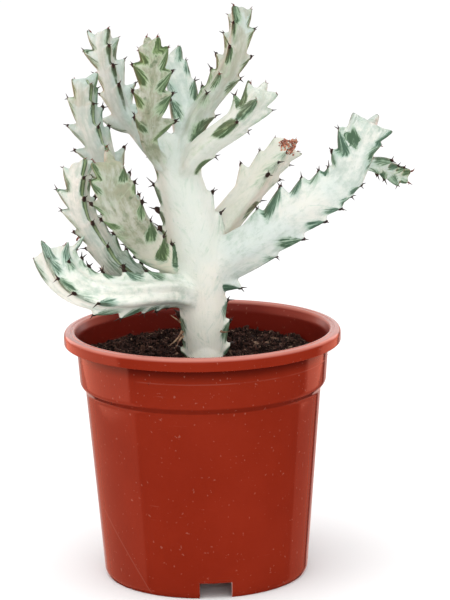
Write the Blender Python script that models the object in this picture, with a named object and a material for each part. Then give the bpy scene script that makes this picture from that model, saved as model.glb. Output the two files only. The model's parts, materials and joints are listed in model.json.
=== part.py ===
"""A potted white ghost euphorbia: a plastic grower's pot, its soil, and one plant grown as a single piece.

Metres, +Z up. The front of the plant faces -Y. The pot's foot stands on z = 0, and the pot's axis stands a
little to the left of the origin, so that the origin is under the middle of the whole object.
"""

import math
import random

import bpy
import bmesh
import numpy as np

MM = 0.001
GAP = 0.3

# Driving dimensions, in millimetres
POT_AXIS_X = -14.5
ROUND_STEPS = 48

POT_HEIGHT = 172.0
LIP_RADIUS = 95.0
LIP_OPENING_RADIUS = 88.5
LIP_DROP = 8.6
LIP_PLATE = 3.2
LIP_SKIRT = 1.8
LIP_ROUNDING = 1.8
LIP_INNER_DROP = 6.0
SKIRT_EDGE = 0.9
COLLAR_TOP_RADIUS = 87.0
COLLAR_FOOT_RADIUS = 84.6
STEP_HIGH = 136.0
STEP_LOW = 131.5
BODY_TOP_RADIUS = 81.0
BODY_FOOT_RADIUS = 70.6
WALL = 1.7
FLOOR_TOP = 12.5
FLOOR_THICKNESS = 2.2
FOOT_ROUNDING = 4.0
FOOT_INSET = 1.8
FOOT_LAND = 1.6

NOTCH_WIDTH = 22.0
NOTCH_HEIGHT = 11.2
NOTCH_REACH_IN = 9.0
NOTCH_TURNS_DEG = (-85.0, 35.0, 155.0)
DRAIN_RADIUS = 5.0
DRAIN_RING_RADIUS = 47.0
DRAIN_COUNT = 6
DRAIN_SIDES = 10
CUT_OVERSHOOT = 2.0

SOIL_TOP = 152.0
SOIL_LUMP = 2.6
SOIL_FLAT_RADIUS = 24.0
SOIL_RINGS = (31.0, 42.0, 53.0, 64.0, 74.0)

STEM_X = 2.0
BURIED_DEPTH = 40.0
BURIED_TOP_RADIUS = 14.5
BURIED_FOOT_RADIUS = 10.0
BURIED_HEAD_RISE = 9.0
BURIED_HEAD_RADIUS = 10.5
HOLE_PROUD = 6.0
HOLE_SIDES = 24

# How every stem's ribs, teeth and thorns are drawn
CREST_HALF_WIDTH = 1.9
TOOTH_TIP_HALF_WIDTH = 0.9
TOOTH_LOW = (0.16, 0.02)
TOOTH_MIDDLE = (0.58, 0.4)
PLAIN_STEP = 14.0
VALLEY_STEP = 11.0
VALLEY_SPREAD_DEG = 58.0
TIP_ROUNDING = 4.5
TIP_END_SHARE = 0.62
TIP_CAP = 1.5
ROUTE_STEP = 1.0
THORN_LENGTH = 4.2
THORN_ROOT_RADIUS = 0.85
THORN_SUNK = 2.2
THORN_SPLAY = 0.45
THORN_SPLAY_CHANCE = 0.1
THORN_FORWARD = 0.5
THORN_ROOT_FORWARD = 0.2
THORN_LENGTH_CHANCE = 0.15
SEED = 7

# The plant's stems, in millimetres from the pot's axis. A route runs from a stem's base to its tip, as
# (across, away from the viewer, up). Girth is the ribs' reach between the teeth at even places from base to
# tip, and core is the reach between the ribs as a share of the girth. Each rib is its angle round the stem,
# and its teeth as (how far along the stem, how far the tooth's tip stands from the centre line). An angle of
# 0 degrees is on the right, 90 faces the viewer, 180 is on the left.
STEMS = {
    "trunk": {
        "route": [(2, 0, 152.6), (1, 0, 172), (0, 0, 193), (-2, 0, 214), (-5, 0, 235), (-9, 0, 256),
                  (-14, 1, 277), (-15, 3, 294), (-13, 5, 306)],
        "girth": [12.5, 13.5, 15.0, 19.0, 20.0, 18.0, 16.0, 13.5, 8.0],
        "core": 0.9,
        "ribs": [(2, [(7, 19), (24, 19), (38, 18), (96, 22), (110, 20)]),
                 (182, [(6, 19), (14, 16), (30, 17), (78, 21), (94, 21), (108, 20), (124, 18), (140, 17)]),
                 (282, [(20, 19), (38, 20), (56, 22), (74, 23), (91, 22), (108, 20), (124, 18)])],
    },
    "upper left back": {
        "route": [(-22, 0, 284), (-33, 5, 299), (-43, 14, 311), (-51, 20, 319), (-56, 24, 331),
                  (-60, 28, 345), (-63, 31, 356), (-64, 33, 367), (-63, 34, 375)],
        "girth": [7.5, 8.0, 8.0, 8.0, 7.0, 6.0],
        "core": 0.86,
        "ribs": [(335, [(36, 12), (52, 14), (68, 16), (86, 13.5), (105, 11.5)]),
                 (68, [(37, 12), (68, 13), (82, 13), (98, 12)]),
                 (205, [(54, 18), (68, 12), (82, 11), (97, 16), (107, 11)])],
    },
    "left": {
        "route": [(-13, 5, 217), (-35, 10, 234), (-48, 13, 251), (-58, 12, 269), (-65, 10, 289),
                  (-70, 8, 303), (-75, 6, 318), (-76, 4, 332), (-76, 2, 347)],
        "girth": [8.5, 9.0, 9.5, 9.0, 8.5, 7.0],
        "core": 0.86,
        "ribs": [(328, [(56, 13), (74, 15), (92, 18), (110, 13), (127, 13), (142, 10)]),
                 (64, [(70, 13), (87, 14), (103, 14), (118, 14), (136, 13), (149, 10)]),
                 (200, [(52, 13), (69, 14), (86, 15), (103, 18), (120, 16), (136, 13.5), (149, 8)])],
    },
    "lower left": {
        "route": [(-9, 0, 194), (-26, -9, 202), (-45, -15, 211), (-60, -18, 224), (-69, -20, 239),
                  (-77, -22, 253), (-81, -24, 267), (-81, -24, 282), (-79, -22, 294)],
        "girth": [8.5, 9.0, 9.5, 9.0, 8.0, 6.5],
        "core": 0.86,
        "ribs": [(332, [(44, 12), (60, 13), (77, 13), (93, 12), (110, 12), (128, 10)]),
                 (70, [(58, 13), (77, 14), (97, 14), (115, 13), (128, 12)]),
                 (202, [(62, 11), (78, 12), (92, 12.5), (106, 15), (118, 16), (132, 12)])],
    },
    "front left": {
        "route": [(-8, -2, 214), (-22, -6, 221.5), (-31, -14, 227.5), (-38, -24, 238), (-45.5, -34, 250),
                  (-51.5, -43, 262), (-55.5, -49, 275), (-57, -54, 285), (-58, -58, 293), (-59.5, -61, 300)],
        "girth": [9.0, 10.5, 11.5, 12.0, 12.5, 12.0, 7.0],
        "core": 0.74,
        "ribs": [(12, [(24, 12), (43, 13), (62, 13), (84, 15.5), (104, 14.5), (116, 8)]),
                 (168, [(40, 12), (55, 12), (69, 13), (82, 15.5), (94, 18), (110, 15)]),
                 (270, [(36, 14), (52, 15), (68, 15), (84, 14), (100, 12)])],
    },
    "front top": {
        "route": [(-25, -3, 284), (-33, -12, 302), (-33, -22, 319), (-31, -28, 334), (-30, -31, 350),
                  (-31, -33, 366), (-33, -34, 375)],
        "girth": [5.0, 5.5, 7.0, 7.2, 7.2, 6.0],
        "core": 0.86,
        "ribs": [(4, [(45, 18), (64, 14), (78, 13.5), (92, 12.5)]),
                 (176, [(45, 10), (64, 13), (84, 13), (95, 7)]),
                 (270, [(40, 12), (56, 13), (72, 13), (88, 12)])],
    },
    "top behind": {
        "route": [(-10, 4, 287), (-8, 13, 304), (-10.5, 20, 322), (-14, 25, 338), (-19, 29, 352),
                  (-21, 31, 358)],
        "girth": [11.0, 13.0, 12.5, 10.0, 7.0],
        "core": 0.84,
        "ribs": [(12, [(38, 14), (54, 12.5), (68, 11.5)]),
                 (120, [(44, 14), (60, 13)]),
                 (235, [(30, 16), (46, 15), (61, 13), (72, 10)])],
    },
    "tall right": {
        "route": [(-11, 0, 280), (-8, 4, 297), (-2, 6, 313), (5, 8, 325), (13, 10, 336), (21, 12, 348),
                  (26, 14, 360), (28, 15, 372), (29, 16, 382), (28, 16, 392)],
        "girth": [9.0, 9.5, 8.5, 7.5, 8.0, 6.8, 5.6],
        "core": 0.86,
        "ribs": [(340, [(46, 11), (76, 11), (90, 12), (107, 11.5), (118, 9)]),
                 (116, [(56, 10), (72, 11), (94, 12), (111, 10)]),
                 (212, [(58, 10), (72, 12), (85, 14), (102, 11.5), (116, 9)])],
    },
    "right upper": {
        "route": [(-11, 0, 278), (-3, -8, 292), (8, -15, 303), (20, -22, 313), (30, -27, 322),
                  (38, -31, 332), (44, -34, 341)],
        "girth": [9.0, 9.5, 9.0, 8.8, 8.4, 7.0],
        "core": 0.84,
        "ribs": [(340, [(28, 11), (60, 11), (80, 14)]),
                 (98, [(66, 12), (86, 11)]),
                 (208, [(72, 15), (88, 11)]),
                 (268, [(36, 12), (54, 13), (73, 12)])],
    },
    "right middle": {
        "route": [(1, 0, 224), (13, 9, 239), (24.5, 17, 251.5), (34, 23, 262), (43.5, 28, 273.5),
                  (54, 31, 285), (63.5, 34, 296)],
        "girth": [10.5, 11.0, 10.5, 10.0, 9.6, 7.6],
        "core": 0.86,
        "ribs": [(348, [(56, 11), (76, 12.5), (88, 11), (99, 10)]),
                 (80, [(72, 11.5), (84, 11.5), (92, 10.5)]),
                 (190, [(68, 16.5), (82, 12), (96, 9.5)])],
    },
    "big right": {
        "route": [(1, 0, 207), (17, -3, 220), (34, -8, 231), (50, -12, 242), (66, -16, 254), (79.5, -19, 264),
                  (92, -21, 273), (100, -23, 282), (104, -25, 293), (109, -26, 306), (116, -27, 318)],
        "girth": [15.0, 15.5, 14.5, 13.5, 12.5, 11.5, 11.0, 9.5],
        "core": 0.7,
        "ribs": [(4, [(52, 16.5), (74, 17), (94, 16), (108, 14.5), (117, 12.5), (125, 12), (142, 12),
                      (154, 14), (165, 12)]),
                 (178, [(61, 18.5), (84, 22), (99, 18.5), (112, 16), (121, 13.5), (138, 16), (152, 17),
                        (163, 12)]),
                 (283, [(50, 16), (68, 17), (86, 17), (103, 16), (119, 15), (135, 14), (150, 12)])],
    },
    "far right": {
        "route": [(104, -16, 288), (112, -16, 287), (120, -10, 285), (126, -2, 281), (132.5, 6, 276),
                  (138.5, 11, 273.5), (143, 14, 272.5)],
        "girth": [5.0, 5.2, 5.6, 5.2, 4.2],
        "core": 0.86,
        "ribs": [(20, [(22, 7), (34, 7.5), (46, 8)]),
                 (150, [(24, 9), (34, 8), (44, 8)]),
                 (265, [(27, 7.5), (38, 7.5)])],
    },
    "low left": {
        "route": [(-5, 0, 194), (-20, -13, 201), (-35, -29, 204), (-51, -41, 205), (-67, -46, 207),
                  (-80, -45, 212), (-90, -41, 220), (-96, -37, 230), (-98, -34, 238)],
        "girth": [11.0, 12.5, 12.5, 12.5, 13.5, 13.0],
        "core": 0.84,
        "ribs": [(2, [(48, 15), (66, 17), (84, 15), (98, 14.5), (110, 15), (122, 14)]),
                 (106, [(82, 15), (95, 15), (107, 15), (120, 14)]),
                 (182, [(20, 13), (34, 15), (48, 15), (66, 17), (82, 16), (124, 15)]),
                 (282, [(40, 15), (56, 15), (72, 15), (88, 15), (104, 13)])],
    },
}


def clear_scene():
    """Removes every object that the file starts with."""
    for old in list(bpy.data.objects):
        bpy.data.objects.remove(old, do_unlink=True)


def principled(name, colour, roughness):
    """A plain material of one colour, given as linear red, green and blue."""
    material = bpy.data.materials.new(name)
    material.use_nodes = True
    shader = material.node_tree.nodes["Principled BSDF"]
    shader.inputs["Base Color"].default_value = (*colour, 1.0)
    shader.inputs["Roughness"].default_value = roughness
    shader.inputs["Metallic"].default_value = 0.0
    return material


def add_object(name, points_mm, faces, material=None):
    """An object from points in millimetres from the pot's axis, set at the pot's axis."""
    mesh = bpy.data.meshes.new(name)
    placed = (np.array(points_mm, float) + (POT_AXIS_X, 0.0, 0.0)) * MM
    mesh.from_pydata(placed.tolist(), [], faces)
    mesh.update()
    thing = bpy.data.objects.new(name, mesh)
    bpy.context.scene.collection.objects.link(thing)
    if material:
        mesh.materials.append(material)
    return thing


def skin_rings(rings, wrap_count, first_pole, last_pole):
    """Faces between successive rings of equal count, closed by a fan to a pole at each end.

    Points are numbered ring by ring, then the first pole, then the last one.
    """
    faces = []
    for ring in range(rings - 1):
        for step in range(wrap_count):
            here = ring * wrap_count + step
            beside = ring * wrap_count + (step + 1) % wrap_count
            faces.append((here, beside, beside + wrap_count, here + wrap_count))
    top = (rings - 1) * wrap_count
    for step in range(wrap_count):
        beside = (step + 1) % wrap_count
        faces.append((beside, step, first_pole))
        faces.append((top + step, top + beside, last_pole))
    return faces


def turned(name, profile, material, centre=(0.0, 0.0), steps=ROUND_STEPS, lift=None):
    """A turned solid. The profile is (radius, height), and its first and last points lie on the axis.

    It runs up the outside and back down the inside. lift is a function that adds to the height of a point.
    """
    turn = np.arange(steps) * (2 * math.pi / steps)
    points = []
    for radius, height in profile[1:-1]:
        across = centre[0] + radius * np.cos(turn)
        away = centre[1] + radius * np.sin(turn)
        up = np.full(steps, height)
        if lift:
            up = up + lift(across, away, radius, height)
        points.append(np.column_stack([across, away, up]))
    rings = len(points)
    poles = [(*centre, profile[0][1]), (*centre, profile[-1][1])]
    points = np.vstack(points + [poles])
    faces = skin_rings(rings, steps, rings * steps, rings * steps + 1)
    return add_object(name, points, faces, material)


def cut_away(thing, cutters, name):
    """A live Boolean difference of thing by every cutter, through one collection."""
    group = bpy.data.collections.new(name)
    bpy.context.scene.collection.children.link(group)
    for cutter in cutters:
        bpy.context.scene.collection.objects.unlink(cutter)
        group.objects.link(cutter)
        cutter.hide_render = True
        cutter.display_type = "WIRE"
    cut = thing.modifiers.new(name, "BOOLEAN")
    cut.operation = "DIFFERENCE"
    cut.operand_type = "COLLECTION"
    cut.collection = group
    cut.solver = "EXACT"


def inner_wall_radius(height):
    """Radius of the pot's inside at a height: the outside's radius there, less the wall's thickness."""
    heights = [FOOT_ROUNDING, STEP_LOW, STEP_HIGH, POT_HEIGHT - LIP_PLATE]
    radii = [BODY_FOOT_RADIUS, BODY_TOP_RADIUS, COLLAR_FOOT_RADIUS, COLLAR_TOP_RADIUS]
    return float(np.interp(height, heights, radii)) - WALL


def make_pot():
    """The pot: one turned wall with a hanging lip, a raised floor with drain holes, and a notched foot."""
    plastic = principled("terracotta plastic", (0.30, 0.025, 0.011), 0.38)
    lip_top = POT_HEIGHT
    skirt_foot = POT_HEIGHT - LIP_DROP
    plate_under = POT_HEIGHT - LIP_PLATE
    floor_under = FLOOR_TOP - FLOOR_THICKNESS
    land_outside = BODY_FOOT_RADIUS - FOOT_INSET
    land_inside = land_outside - FOOT_LAND
    inner_foot = lip_top - LIP_INNER_DROP
    profile = [
        (0.0, floor_under),
        (land_inside + 1.0, floor_under),
        (land_inside, 0.0),
        (land_outside, 0.0),
        (BODY_FOOT_RADIUS - 0.5, 1.2),
        (BODY_FOOT_RADIUS, FOOT_ROUNDING),
        (BODY_TOP_RADIUS, STEP_LOW),
        (COLLAR_FOOT_RADIUS, STEP_HIGH),
        (COLLAR_TOP_RADIUS, plate_under),
        (LIP_RADIUS - LIP_SKIRT, plate_under),
        (LIP_RADIUS - LIP_SKIRT, skirt_foot),
        (LIP_RADIUS - SKIRT_EDGE, skirt_foot),
        (LIP_RADIUS, skirt_foot + SKIRT_EDGE),
        (LIP_RADIUS, lip_top - LIP_ROUNDING),
        (LIP_RADIUS - LIP_ROUNDING, lip_top),
        (LIP_OPENING_RADIUS + 1.0, lip_top),
        (LIP_OPENING_RADIUS - 0.6, lip_top - 1.4),
        (inner_wall_radius(inner_foot), inner_foot),
        (inner_wall_radius(STEP_HIGH), STEP_HIGH),
        (inner_wall_radius(STEP_LOW), STEP_LOW),
        (inner_wall_radius(FLOOR_TOP), FLOOR_TOP),
        (0.0, FLOOR_TOP),
    ]
    pot = turned("pot", profile, plastic)
    cutters = []
    for number, turn_deg in enumerate(NOTCH_TURNS_DEG):
        cutters.append(notch_cutter(f"notch_{number}", math.radians(turn_deg)))
    for number in range(DRAIN_COUNT):
        turn = 2 * math.pi * (number + 0.5) / DRAIN_COUNT
        at = (DRAIN_RING_RADIUS * math.cos(turn), DRAIN_RING_RADIUS * math.sin(turn))
        low = floor_under - CUT_OVERSHOOT
        high = FLOOR_TOP + CUT_OVERSHOOT
        hole = [(0.0, low), (DRAIN_RADIUS, low), (DRAIN_RADIUS, high), (0.0, high)]
        cutters.append(turned(f"drain_{number}", hole, None, at, DRAIN_SIDES))
    cut_away(pot, cutters, "openings")
    return pot


def notch_cutter(name, turn):
    """A box that cuts one notch through the foot ring, standing radially at that turn."""
    inner = BODY_FOOT_RADIUS - NOTCH_REACH_IN
    outer = BODY_FOOT_RADIUS + CUT_OVERSHOOT
    half = NOTCH_WIDTH / 2
    outward = np.array([math.cos(turn), math.sin(turn), 0.0])
    sideways = np.array([-math.sin(turn), math.cos(turn), 0.0])
    corners = []
    for height in (-CUT_OVERSHOOT, NOTCH_HEIGHT):
        for reach, shift in ((inner, -half), (outer, -half), (outer, half), (inner, half)):
            corners.append(outward * reach + sideways * shift + (0.0, 0.0, height))
    faces = [(3, 2, 1, 0), (4, 5, 6, 7), (0, 1, 5, 4), (1, 2, 6, 5), (2, 3, 7, 6), (3, 0, 4, 7)]
    return add_object(name, corners, faces)


def soil_lumps(across, away, radius, height):
    """Rise of the soil's crumbly top: three crossing waves, flat beside the stem and level at the wall."""
    if height < SOIL_TOP or radius <= SOIL_FLAT_RADIUS:
        return np.zeros_like(across)
    waves = np.sin(across * 0.11 + 0.6) * np.cos(away * 0.13 - 0.4)
    waves = waves + 0.6 * np.sin(across * 0.21 - away * 0.17 + 1.9)
    waves = waves + 0.4 * np.cos(across * 0.35 + away * 0.31)
    return SOIL_LUMP * 0.5 * waves


def hole_radius(height):
    """Radius of the stem's hole in the soil: the buried stem's taper and the gap round it."""
    depth = SOIL_TOP - height
    share = depth / BURIED_DEPTH
    return BURIED_TOP_RADIUS + (BURIED_FOOT_RADIUS - BURIED_TOP_RADIUS) * share + GAP


def make_soil():
    """The soil: it fills the pot to 20 mm below the lip, and the stem stands in a plain hole in it."""
    earth = principled("potting soil", (0.035, 0.018, 0.011), 0.95)
    floor = FLOOR_TOP + GAP
    rim = SOIL_TOP - SOIL_LUMP
    profile = [
        (0.0, floor),
        (inner_wall_radius(floor) - GAP, floor),
        (inner_wall_radius(STEP_LOW) - GAP, STEP_LOW),
        (inner_wall_radius(STEP_HIGH) - GAP, STEP_HIGH),
        (inner_wall_radius(rim) - GAP, rim),
    ]
    for radius in reversed(SOIL_RINGS):
        profile.append((radius, SOIL_TOP))
    profile.append((SOIL_FLAT_RADIUS, SOIL_TOP))
    profile.append((0.0, SOIL_TOP))
    soil = turned("soil", profile, earth, lift=soil_lumps)
    deep = SOIL_TOP - BURIED_DEPTH - GAP
    proud = SOIL_TOP + HOLE_PROUD
    hole = [(0.0, deep), (hole_radius(deep), deep), (hole_radius(proud), proud), (0.0, proud)]
    cut_away(soil, [turned("stem_hole", hole, None, (STEM_X, 0.0), HOLE_SIDES)], "stem_hole")
    return soil


def smooth_route(route):
    """Points about a millimetre apart on a smooth curve through the route, and the length run at each.

    The curve is cubic Hermite pieces, whose slopes at the route's points are three-point slopes.
    """
    knots = np.array(route, float)
    steps = np.diff(knots, axis=0)
    chord = np.linalg.norm(steps, axis=1)
    at = np.concatenate([[0.0], np.cumsum(chord)])
    slope = steps / chord[:, None]
    blend = chord[1:] / (chord[:-1] + chord[1:])
    inner = slope[:-1] * blend[:, None] + slope[1:] * (1.0 - blend)[:, None]
    tangent = np.vstack([slope[:1], inner, slope[-1:]])
    where = np.linspace(0.0, at[-1], int(at[-1] / ROUTE_STEP) + 2)
    piece = np.clip(np.searchsorted(at, where, side="right") - 1, 0, len(chord) - 1)
    span = chord[piece][:, None]
    t = (where - at[piece])[:, None] / span
    points = (2 * t**3 - 3 * t**2 + 1) * knots[piece] + (t**3 - 2 * t**2 + t) * span * tangent[piece]
    points = points + (3 * t**2 - 2 * t**3) * knots[piece + 1] + (t**3 - t**2) * span * tangent[piece + 1]
    run = np.concatenate([[0.0], np.cumsum(np.linalg.norm(np.diff(points, axis=0), axis=1))])
    return points, run


def unit(vectors):
    """Vectors scaled to length one, along their last axis."""
    return vectors / np.linalg.norm(vectors, axis=-1, keepdims=True)


class Stem:
    """One stem's centre line, and the directions across it at any station along it."""

    def __init__(self, plan):
        self.points, self.run = smooth_route(plan["route"])
        self.length = self.run[-1]
        self.tangents = unit(np.gradient(self.points, self.run, axis=0))
        self.plan = plan

    def frame(self, station):
        """Centre, tangent, direction to the right and direction to the viewer at stations of any shape."""
        inside = np.clip(station, 0.0, self.length)
        centre = np.stack([np.interp(inside, self.run, self.points[:, k]) for k in range(3)], axis=-1)
        tangent = np.stack([np.interp(inside, self.run, self.tangents[:, k]) for k in range(3)], axis=-1)
        tangent = unit(tangent)
        centre = centre + (station - inside)[..., None] * tangent
        right = unit(np.cross(tangent, (0.0, -1.0, 0.0)))
        return centre, tangent, right, np.cross(right, tangent)

    def girth(self, station):
        """The ribs' reach between teeth, drawn in at the tip like a dome."""
        plan = self.plan["girth"]
        reach = np.interp(station, np.linspace(0.0, self.length, len(plan)), plan)
        past = np.clip((station - self.length + TIP_ROUNDING) / TIP_ROUNDING, 0.0, 1.0)
        dome = np.sqrt(np.maximum(1.0 - past**2, 0.0))
        return reach * (TIP_END_SHARE + (1.0 - TIP_END_SHARE) * dome)

    def point(self, station, angle, reach):
        """The place at that reach from the centre line, in the direction of that angle round the stem."""
        centre, _, right, front = self.frame(station)
        way = np.cos(angle)[..., None] * right + np.sin(angle)[..., None] * front
        return centre + reach[..., None] * way


def rib_profile(stem, teeth):
    """Stations and reaches along one rib, and the half width of its crest there.

    Three points make a tooth: low just past the tooth before it, part way up, then its tip. A rib is bare
    up to a tooth's length before its first tooth.
    """
    spacing = teeth[1][0] - teeth[0][0]
    before = max(teeth[0][0] - spacing, 0.0)
    plain = int(before / PLAIN_STEP)
    rows = [(before * step / plain, 0.0, CREST_HALF_WIDTH) for step in range(plain)]
    for station, reach in teeth:
        gap = station - before
        rise = reach - float(stem.girth(station))
        rows.append((before + TOOTH_LOW[0] * gap, TOOTH_LOW[1] * rise, CREST_HALF_WIDTH))
        rows.append((before + TOOTH_MIDDLE[0] * gap, TOOTH_MIDDLE[1] * rise, CREST_HALF_WIDTH))
        rows.append((station, rise, TOOTH_TIP_HALF_WIDTH))
        before = station
    rows.append((stem.length, 0.0, TOOTH_TIP_HALF_WIDTH))
    stations, rises, half_widths = np.array(rows).T
    return stations, stem.girth(stations) + rises, half_widths


def zip_columns(first, second, stations):
    """Triangles between two columns of points along a stem, always stepping on where less has been passed."""
    faces = []
    here = 0
    there = 0
    while here < len(first) - 1 or there < len(second) - 1:
        done_here = here == len(first) - 1
        done_there = there == len(second) - 1
        if done_there or (not done_here and stations[first[here + 1]] <= stations[second[there + 1]]):
            faces.append((first[here + 1], second[there], first[here]))
            here += 1
        else:
            faces.append((second[there + 1], second[there], first[here]))
            there += 1
    return faces


def stem_mesh(stem):
    """Points and faces of one ribbed, toothed stem, and the tips of its teeth.

    Columns of points run along the stem: two for each rib, one on either edge of its crest, and one or more
    between neighbouring ribs, on the stem's core. Neighbouring columns are zipped together.
    """
    plan = stem.plan
    columns = []
    tips = []
    ribs = plan["ribs"]
    for number, (angle_deg, teeth) in enumerate(ribs):
        angle = math.radians(angle_deg)
        stations, reaches, half_widths = rib_profile(stem, teeth)
        spread = half_widths / reaches
        columns.append((stations, angle - spread, reaches))
        columns.append((stations, angle + spread, reaches))
        for station, reach in teeth:
            tips.append((station, angle, reach))
        following = math.radians(ribs[(number + 1) % len(ribs)][0])
        if following <= angle:
            following += 2 * math.pi
        gap = following - angle
        between = max(1, round(math.degrees(gap) / VALLEY_SPREAD_DEG))
        level = np.linspace(0.0, stem.length, int(stem.length / VALLEY_STEP) + 2)
        for step in range(1, between + 1):
            valley = np.full(len(level), angle + gap * step / (between + 1))
            columns.append((level, valley, stem.girth(level) * plan["core"]))
    stations = np.concatenate([column[0] for column in columns])
    angles = np.concatenate([column[1] for column in columns])
    reaches = np.concatenate([column[2] for column in columns])
    poles = stem.frame(np.array([0.0, stem.length + TIP_CAP]))[0]
    points = np.vstack([stem.point(stations, angles, reaches), poles])
    first_pole = len(stations)
    last_pole = first_pole + 1
    starts = np.cumsum([0] + [len(column[0]) for column in columns])
    faces = []
    for number in range(len(columns)):
        following = (number + 1) % len(columns)
        here = range(starts[number], starts[number + 1])
        there = range(starts[following], starts[following + 1])
        faces.append((first_pole, here[0], there[0]))
        faces.extend(zip_columns(here, there, stations))
        faces.append((last_pole, there[-1], here[-1]))
    return points, faces, tips


def thorn_mesh(stem, tips, dice):
    """One three-sided thorn on each tooth, its root sunk well in, leaning to either side in turn."""
    points = []
    faces = []
    for number, (station, angle, reach) in enumerate(tips):
        where = np.array([station])
        centre, tangent, right, front = (value[0] for value in stem.frame(where))
        outward = math.cos(angle) * right + math.sin(angle) * front
        sideways = np.cross(tangent, outward)
        splay = THORN_SPLAY * (1 if number % 2 else -1)
        splay = splay + dice.uniform(-THORN_SPLAY_CHANCE, THORN_SPLAY_CHANCE)
        way = unit(outward + tangent * THORN_FORWARD + sideways * splay)
        length = THORN_LENGTH * dice.uniform(1.0 - THORN_LENGTH_CHANCE, 1.0 + THORN_LENGTH_CHANCE)
        tooth_tip = centre + outward * reach
        root = tooth_tip - unit(outward + tangent * THORN_ROOT_FORWARD) * THORN_SUNK
        point = tooth_tip + way * length
        axis = unit(point - root)
        first_side = unit(np.cross(axis, tangent))
        second_side = np.cross(axis, first_side)
        start = len(points)
        for corner in range(3):
            turn = 2 * math.pi * corner / 3
            rim = math.cos(turn) * first_side + math.sin(turn) * second_side
            points.append(root + THORN_ROOT_RADIUS * rim)
        points.append(point)
        faces.append((start + 2, start + 1, start))
        for corner in range(3):
            faces.append((start + corner, start + (corner + 1) % 3, start + 3))
    return points, faces


def buried_foot():
    """The trunk's plain taper below the soil, with its head sunk into the trunk."""
    low = SOIL_TOP - BURIED_DEPTH
    head = SOIL_TOP + BURIED_HEAD_RISE
    profile = [(0.0, low), (BURIED_FOOT_RADIUS, low), (BURIED_TOP_RADIUS, SOIL_TOP),
               (BURIED_HEAD_RADIUS, head), (0.0, head)]
    return turned("buried_foot", profile, None, (STEM_X, 0.0), HOLE_SIDES)


def fuse(thing, parts):
    """Joins the parts to thing by one Boolean union on a collection, applied, and removes the parts."""
    group = bpy.data.collections.new("growth")
    bpy.context.scene.collection.children.link(group)
    for part in parts:
        bpy.context.scene.collection.objects.unlink(part)
        group.objects.link(part)
    union = thing.modifiers.new("growth", "BOOLEAN")
    union.operation = "UNION"
    union.operand_type = "COLLECTION"
    union.collection = group
    union.solver = "MANIFOLD"
    seen = thing.evaluated_get(bpy.context.evaluated_depsgraph_get())
    fused = bpy.data.meshes.new_from_object(seen)
    thing.modifiers.remove(union)
    thing.data = fused
    for part in parts:
        bpy.data.objects.remove(part, do_unlink=True)
    bpy.data.collections.remove(group)


def make_plant():
    """The plant: trunk, branches and thorns, each made apart and then fused into one solid."""
    skin = principled("pale euphorbia skin", (0.68, 0.74, 0.62), 0.55)
    dice = random.Random(SEED)
    parts = []
    for name, plan in STEMS.items():
        stem = Stem(plan)
        points, faces, tips = stem_mesh(stem)
        parts.append(add_object(name, points, faces))
        parts.append(add_object(name + " thorns", *thorn_mesh(stem, tips, dice)))
    parts.append(buried_foot())
    plant = parts.pop(0)
    plant.name = "euphorbia"
    fuse(plant, parts)
    plant.data.materials.clear()
    plant.data.materials.append(skin)
    keep_largest_body(plant)
    return plant


def keep_largest_body(thing):
    """Drops loose scraps of the fusing: only the body with the most faces stays."""
    form = bmesh.new()
    form.from_mesh(thing.data)
    unseen = set(form.verts)
    bodies = []
    while unseen:
        start = unseen.pop()
        body = {start}
        edge_of_search = [start]
        while edge_of_search:
            vertex = edge_of_search.pop()
            for edge in vertex.link_edges:
                other = edge.other_vert(vertex)
                if other not in body:
                    body.add(other)
                    edge_of_search.append(other)
        unseen -= body
        bodies.append(body)
    largest = max(bodies, key=len)
    scraps = [vertex for body in bodies if body is not largest for vertex in body]
    bmesh.ops.delete(form, geom=scraps, context="VERTS")
    bmesh.ops.triangulate(form, faces=form.faces[:])
    form.to_mesh(thing.data)
    form.free()


def main():
    """Builds the three pieces."""
    clear_scene()
    pot = make_pot()
    soil = make_soil()
    make_plant()
    for thing in (pot, soil):
        thing.data.shade_smooth()
        thing.data.set_sharp_from_angle(angle=math.radians(30))


main()
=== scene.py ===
# %% [markdown]
# # A potted white ghost euphorbia
# This lesson dresses a plain solid model of a potted plant. The solids come first, as a frame that never moves:
# a pot, its soil, and one branching euphorbia. Each of them is then replaced by a finer surface that keeps its
# form and its place, with a procedural finish. Everything is in metres once it reaches Blender, but the plant
# and the pot are easier to think about in millimetres from the pot's axis, so the numbers below are in those.

# %% Load the frame
import json
import math

import bpy
import numpy as np
from mathutils import Matrix, Vector

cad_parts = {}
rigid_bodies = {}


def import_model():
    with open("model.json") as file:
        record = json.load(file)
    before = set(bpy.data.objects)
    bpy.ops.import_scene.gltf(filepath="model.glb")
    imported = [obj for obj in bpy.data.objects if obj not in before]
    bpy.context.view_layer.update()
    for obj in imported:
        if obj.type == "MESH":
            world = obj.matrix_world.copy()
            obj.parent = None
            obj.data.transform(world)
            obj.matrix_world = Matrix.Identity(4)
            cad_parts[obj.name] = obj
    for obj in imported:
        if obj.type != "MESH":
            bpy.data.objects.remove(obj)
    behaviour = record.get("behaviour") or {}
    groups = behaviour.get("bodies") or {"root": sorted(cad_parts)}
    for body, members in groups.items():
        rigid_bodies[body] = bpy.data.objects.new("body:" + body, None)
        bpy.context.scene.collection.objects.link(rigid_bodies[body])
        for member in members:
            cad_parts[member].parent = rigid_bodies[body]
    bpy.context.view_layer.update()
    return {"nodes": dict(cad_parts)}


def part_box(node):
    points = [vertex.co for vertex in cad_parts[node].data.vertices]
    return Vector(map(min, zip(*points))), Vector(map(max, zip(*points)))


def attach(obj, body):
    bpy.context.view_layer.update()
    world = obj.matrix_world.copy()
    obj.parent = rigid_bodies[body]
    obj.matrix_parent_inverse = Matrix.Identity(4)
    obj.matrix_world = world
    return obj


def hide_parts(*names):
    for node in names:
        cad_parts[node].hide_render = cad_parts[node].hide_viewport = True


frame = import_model()
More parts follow.
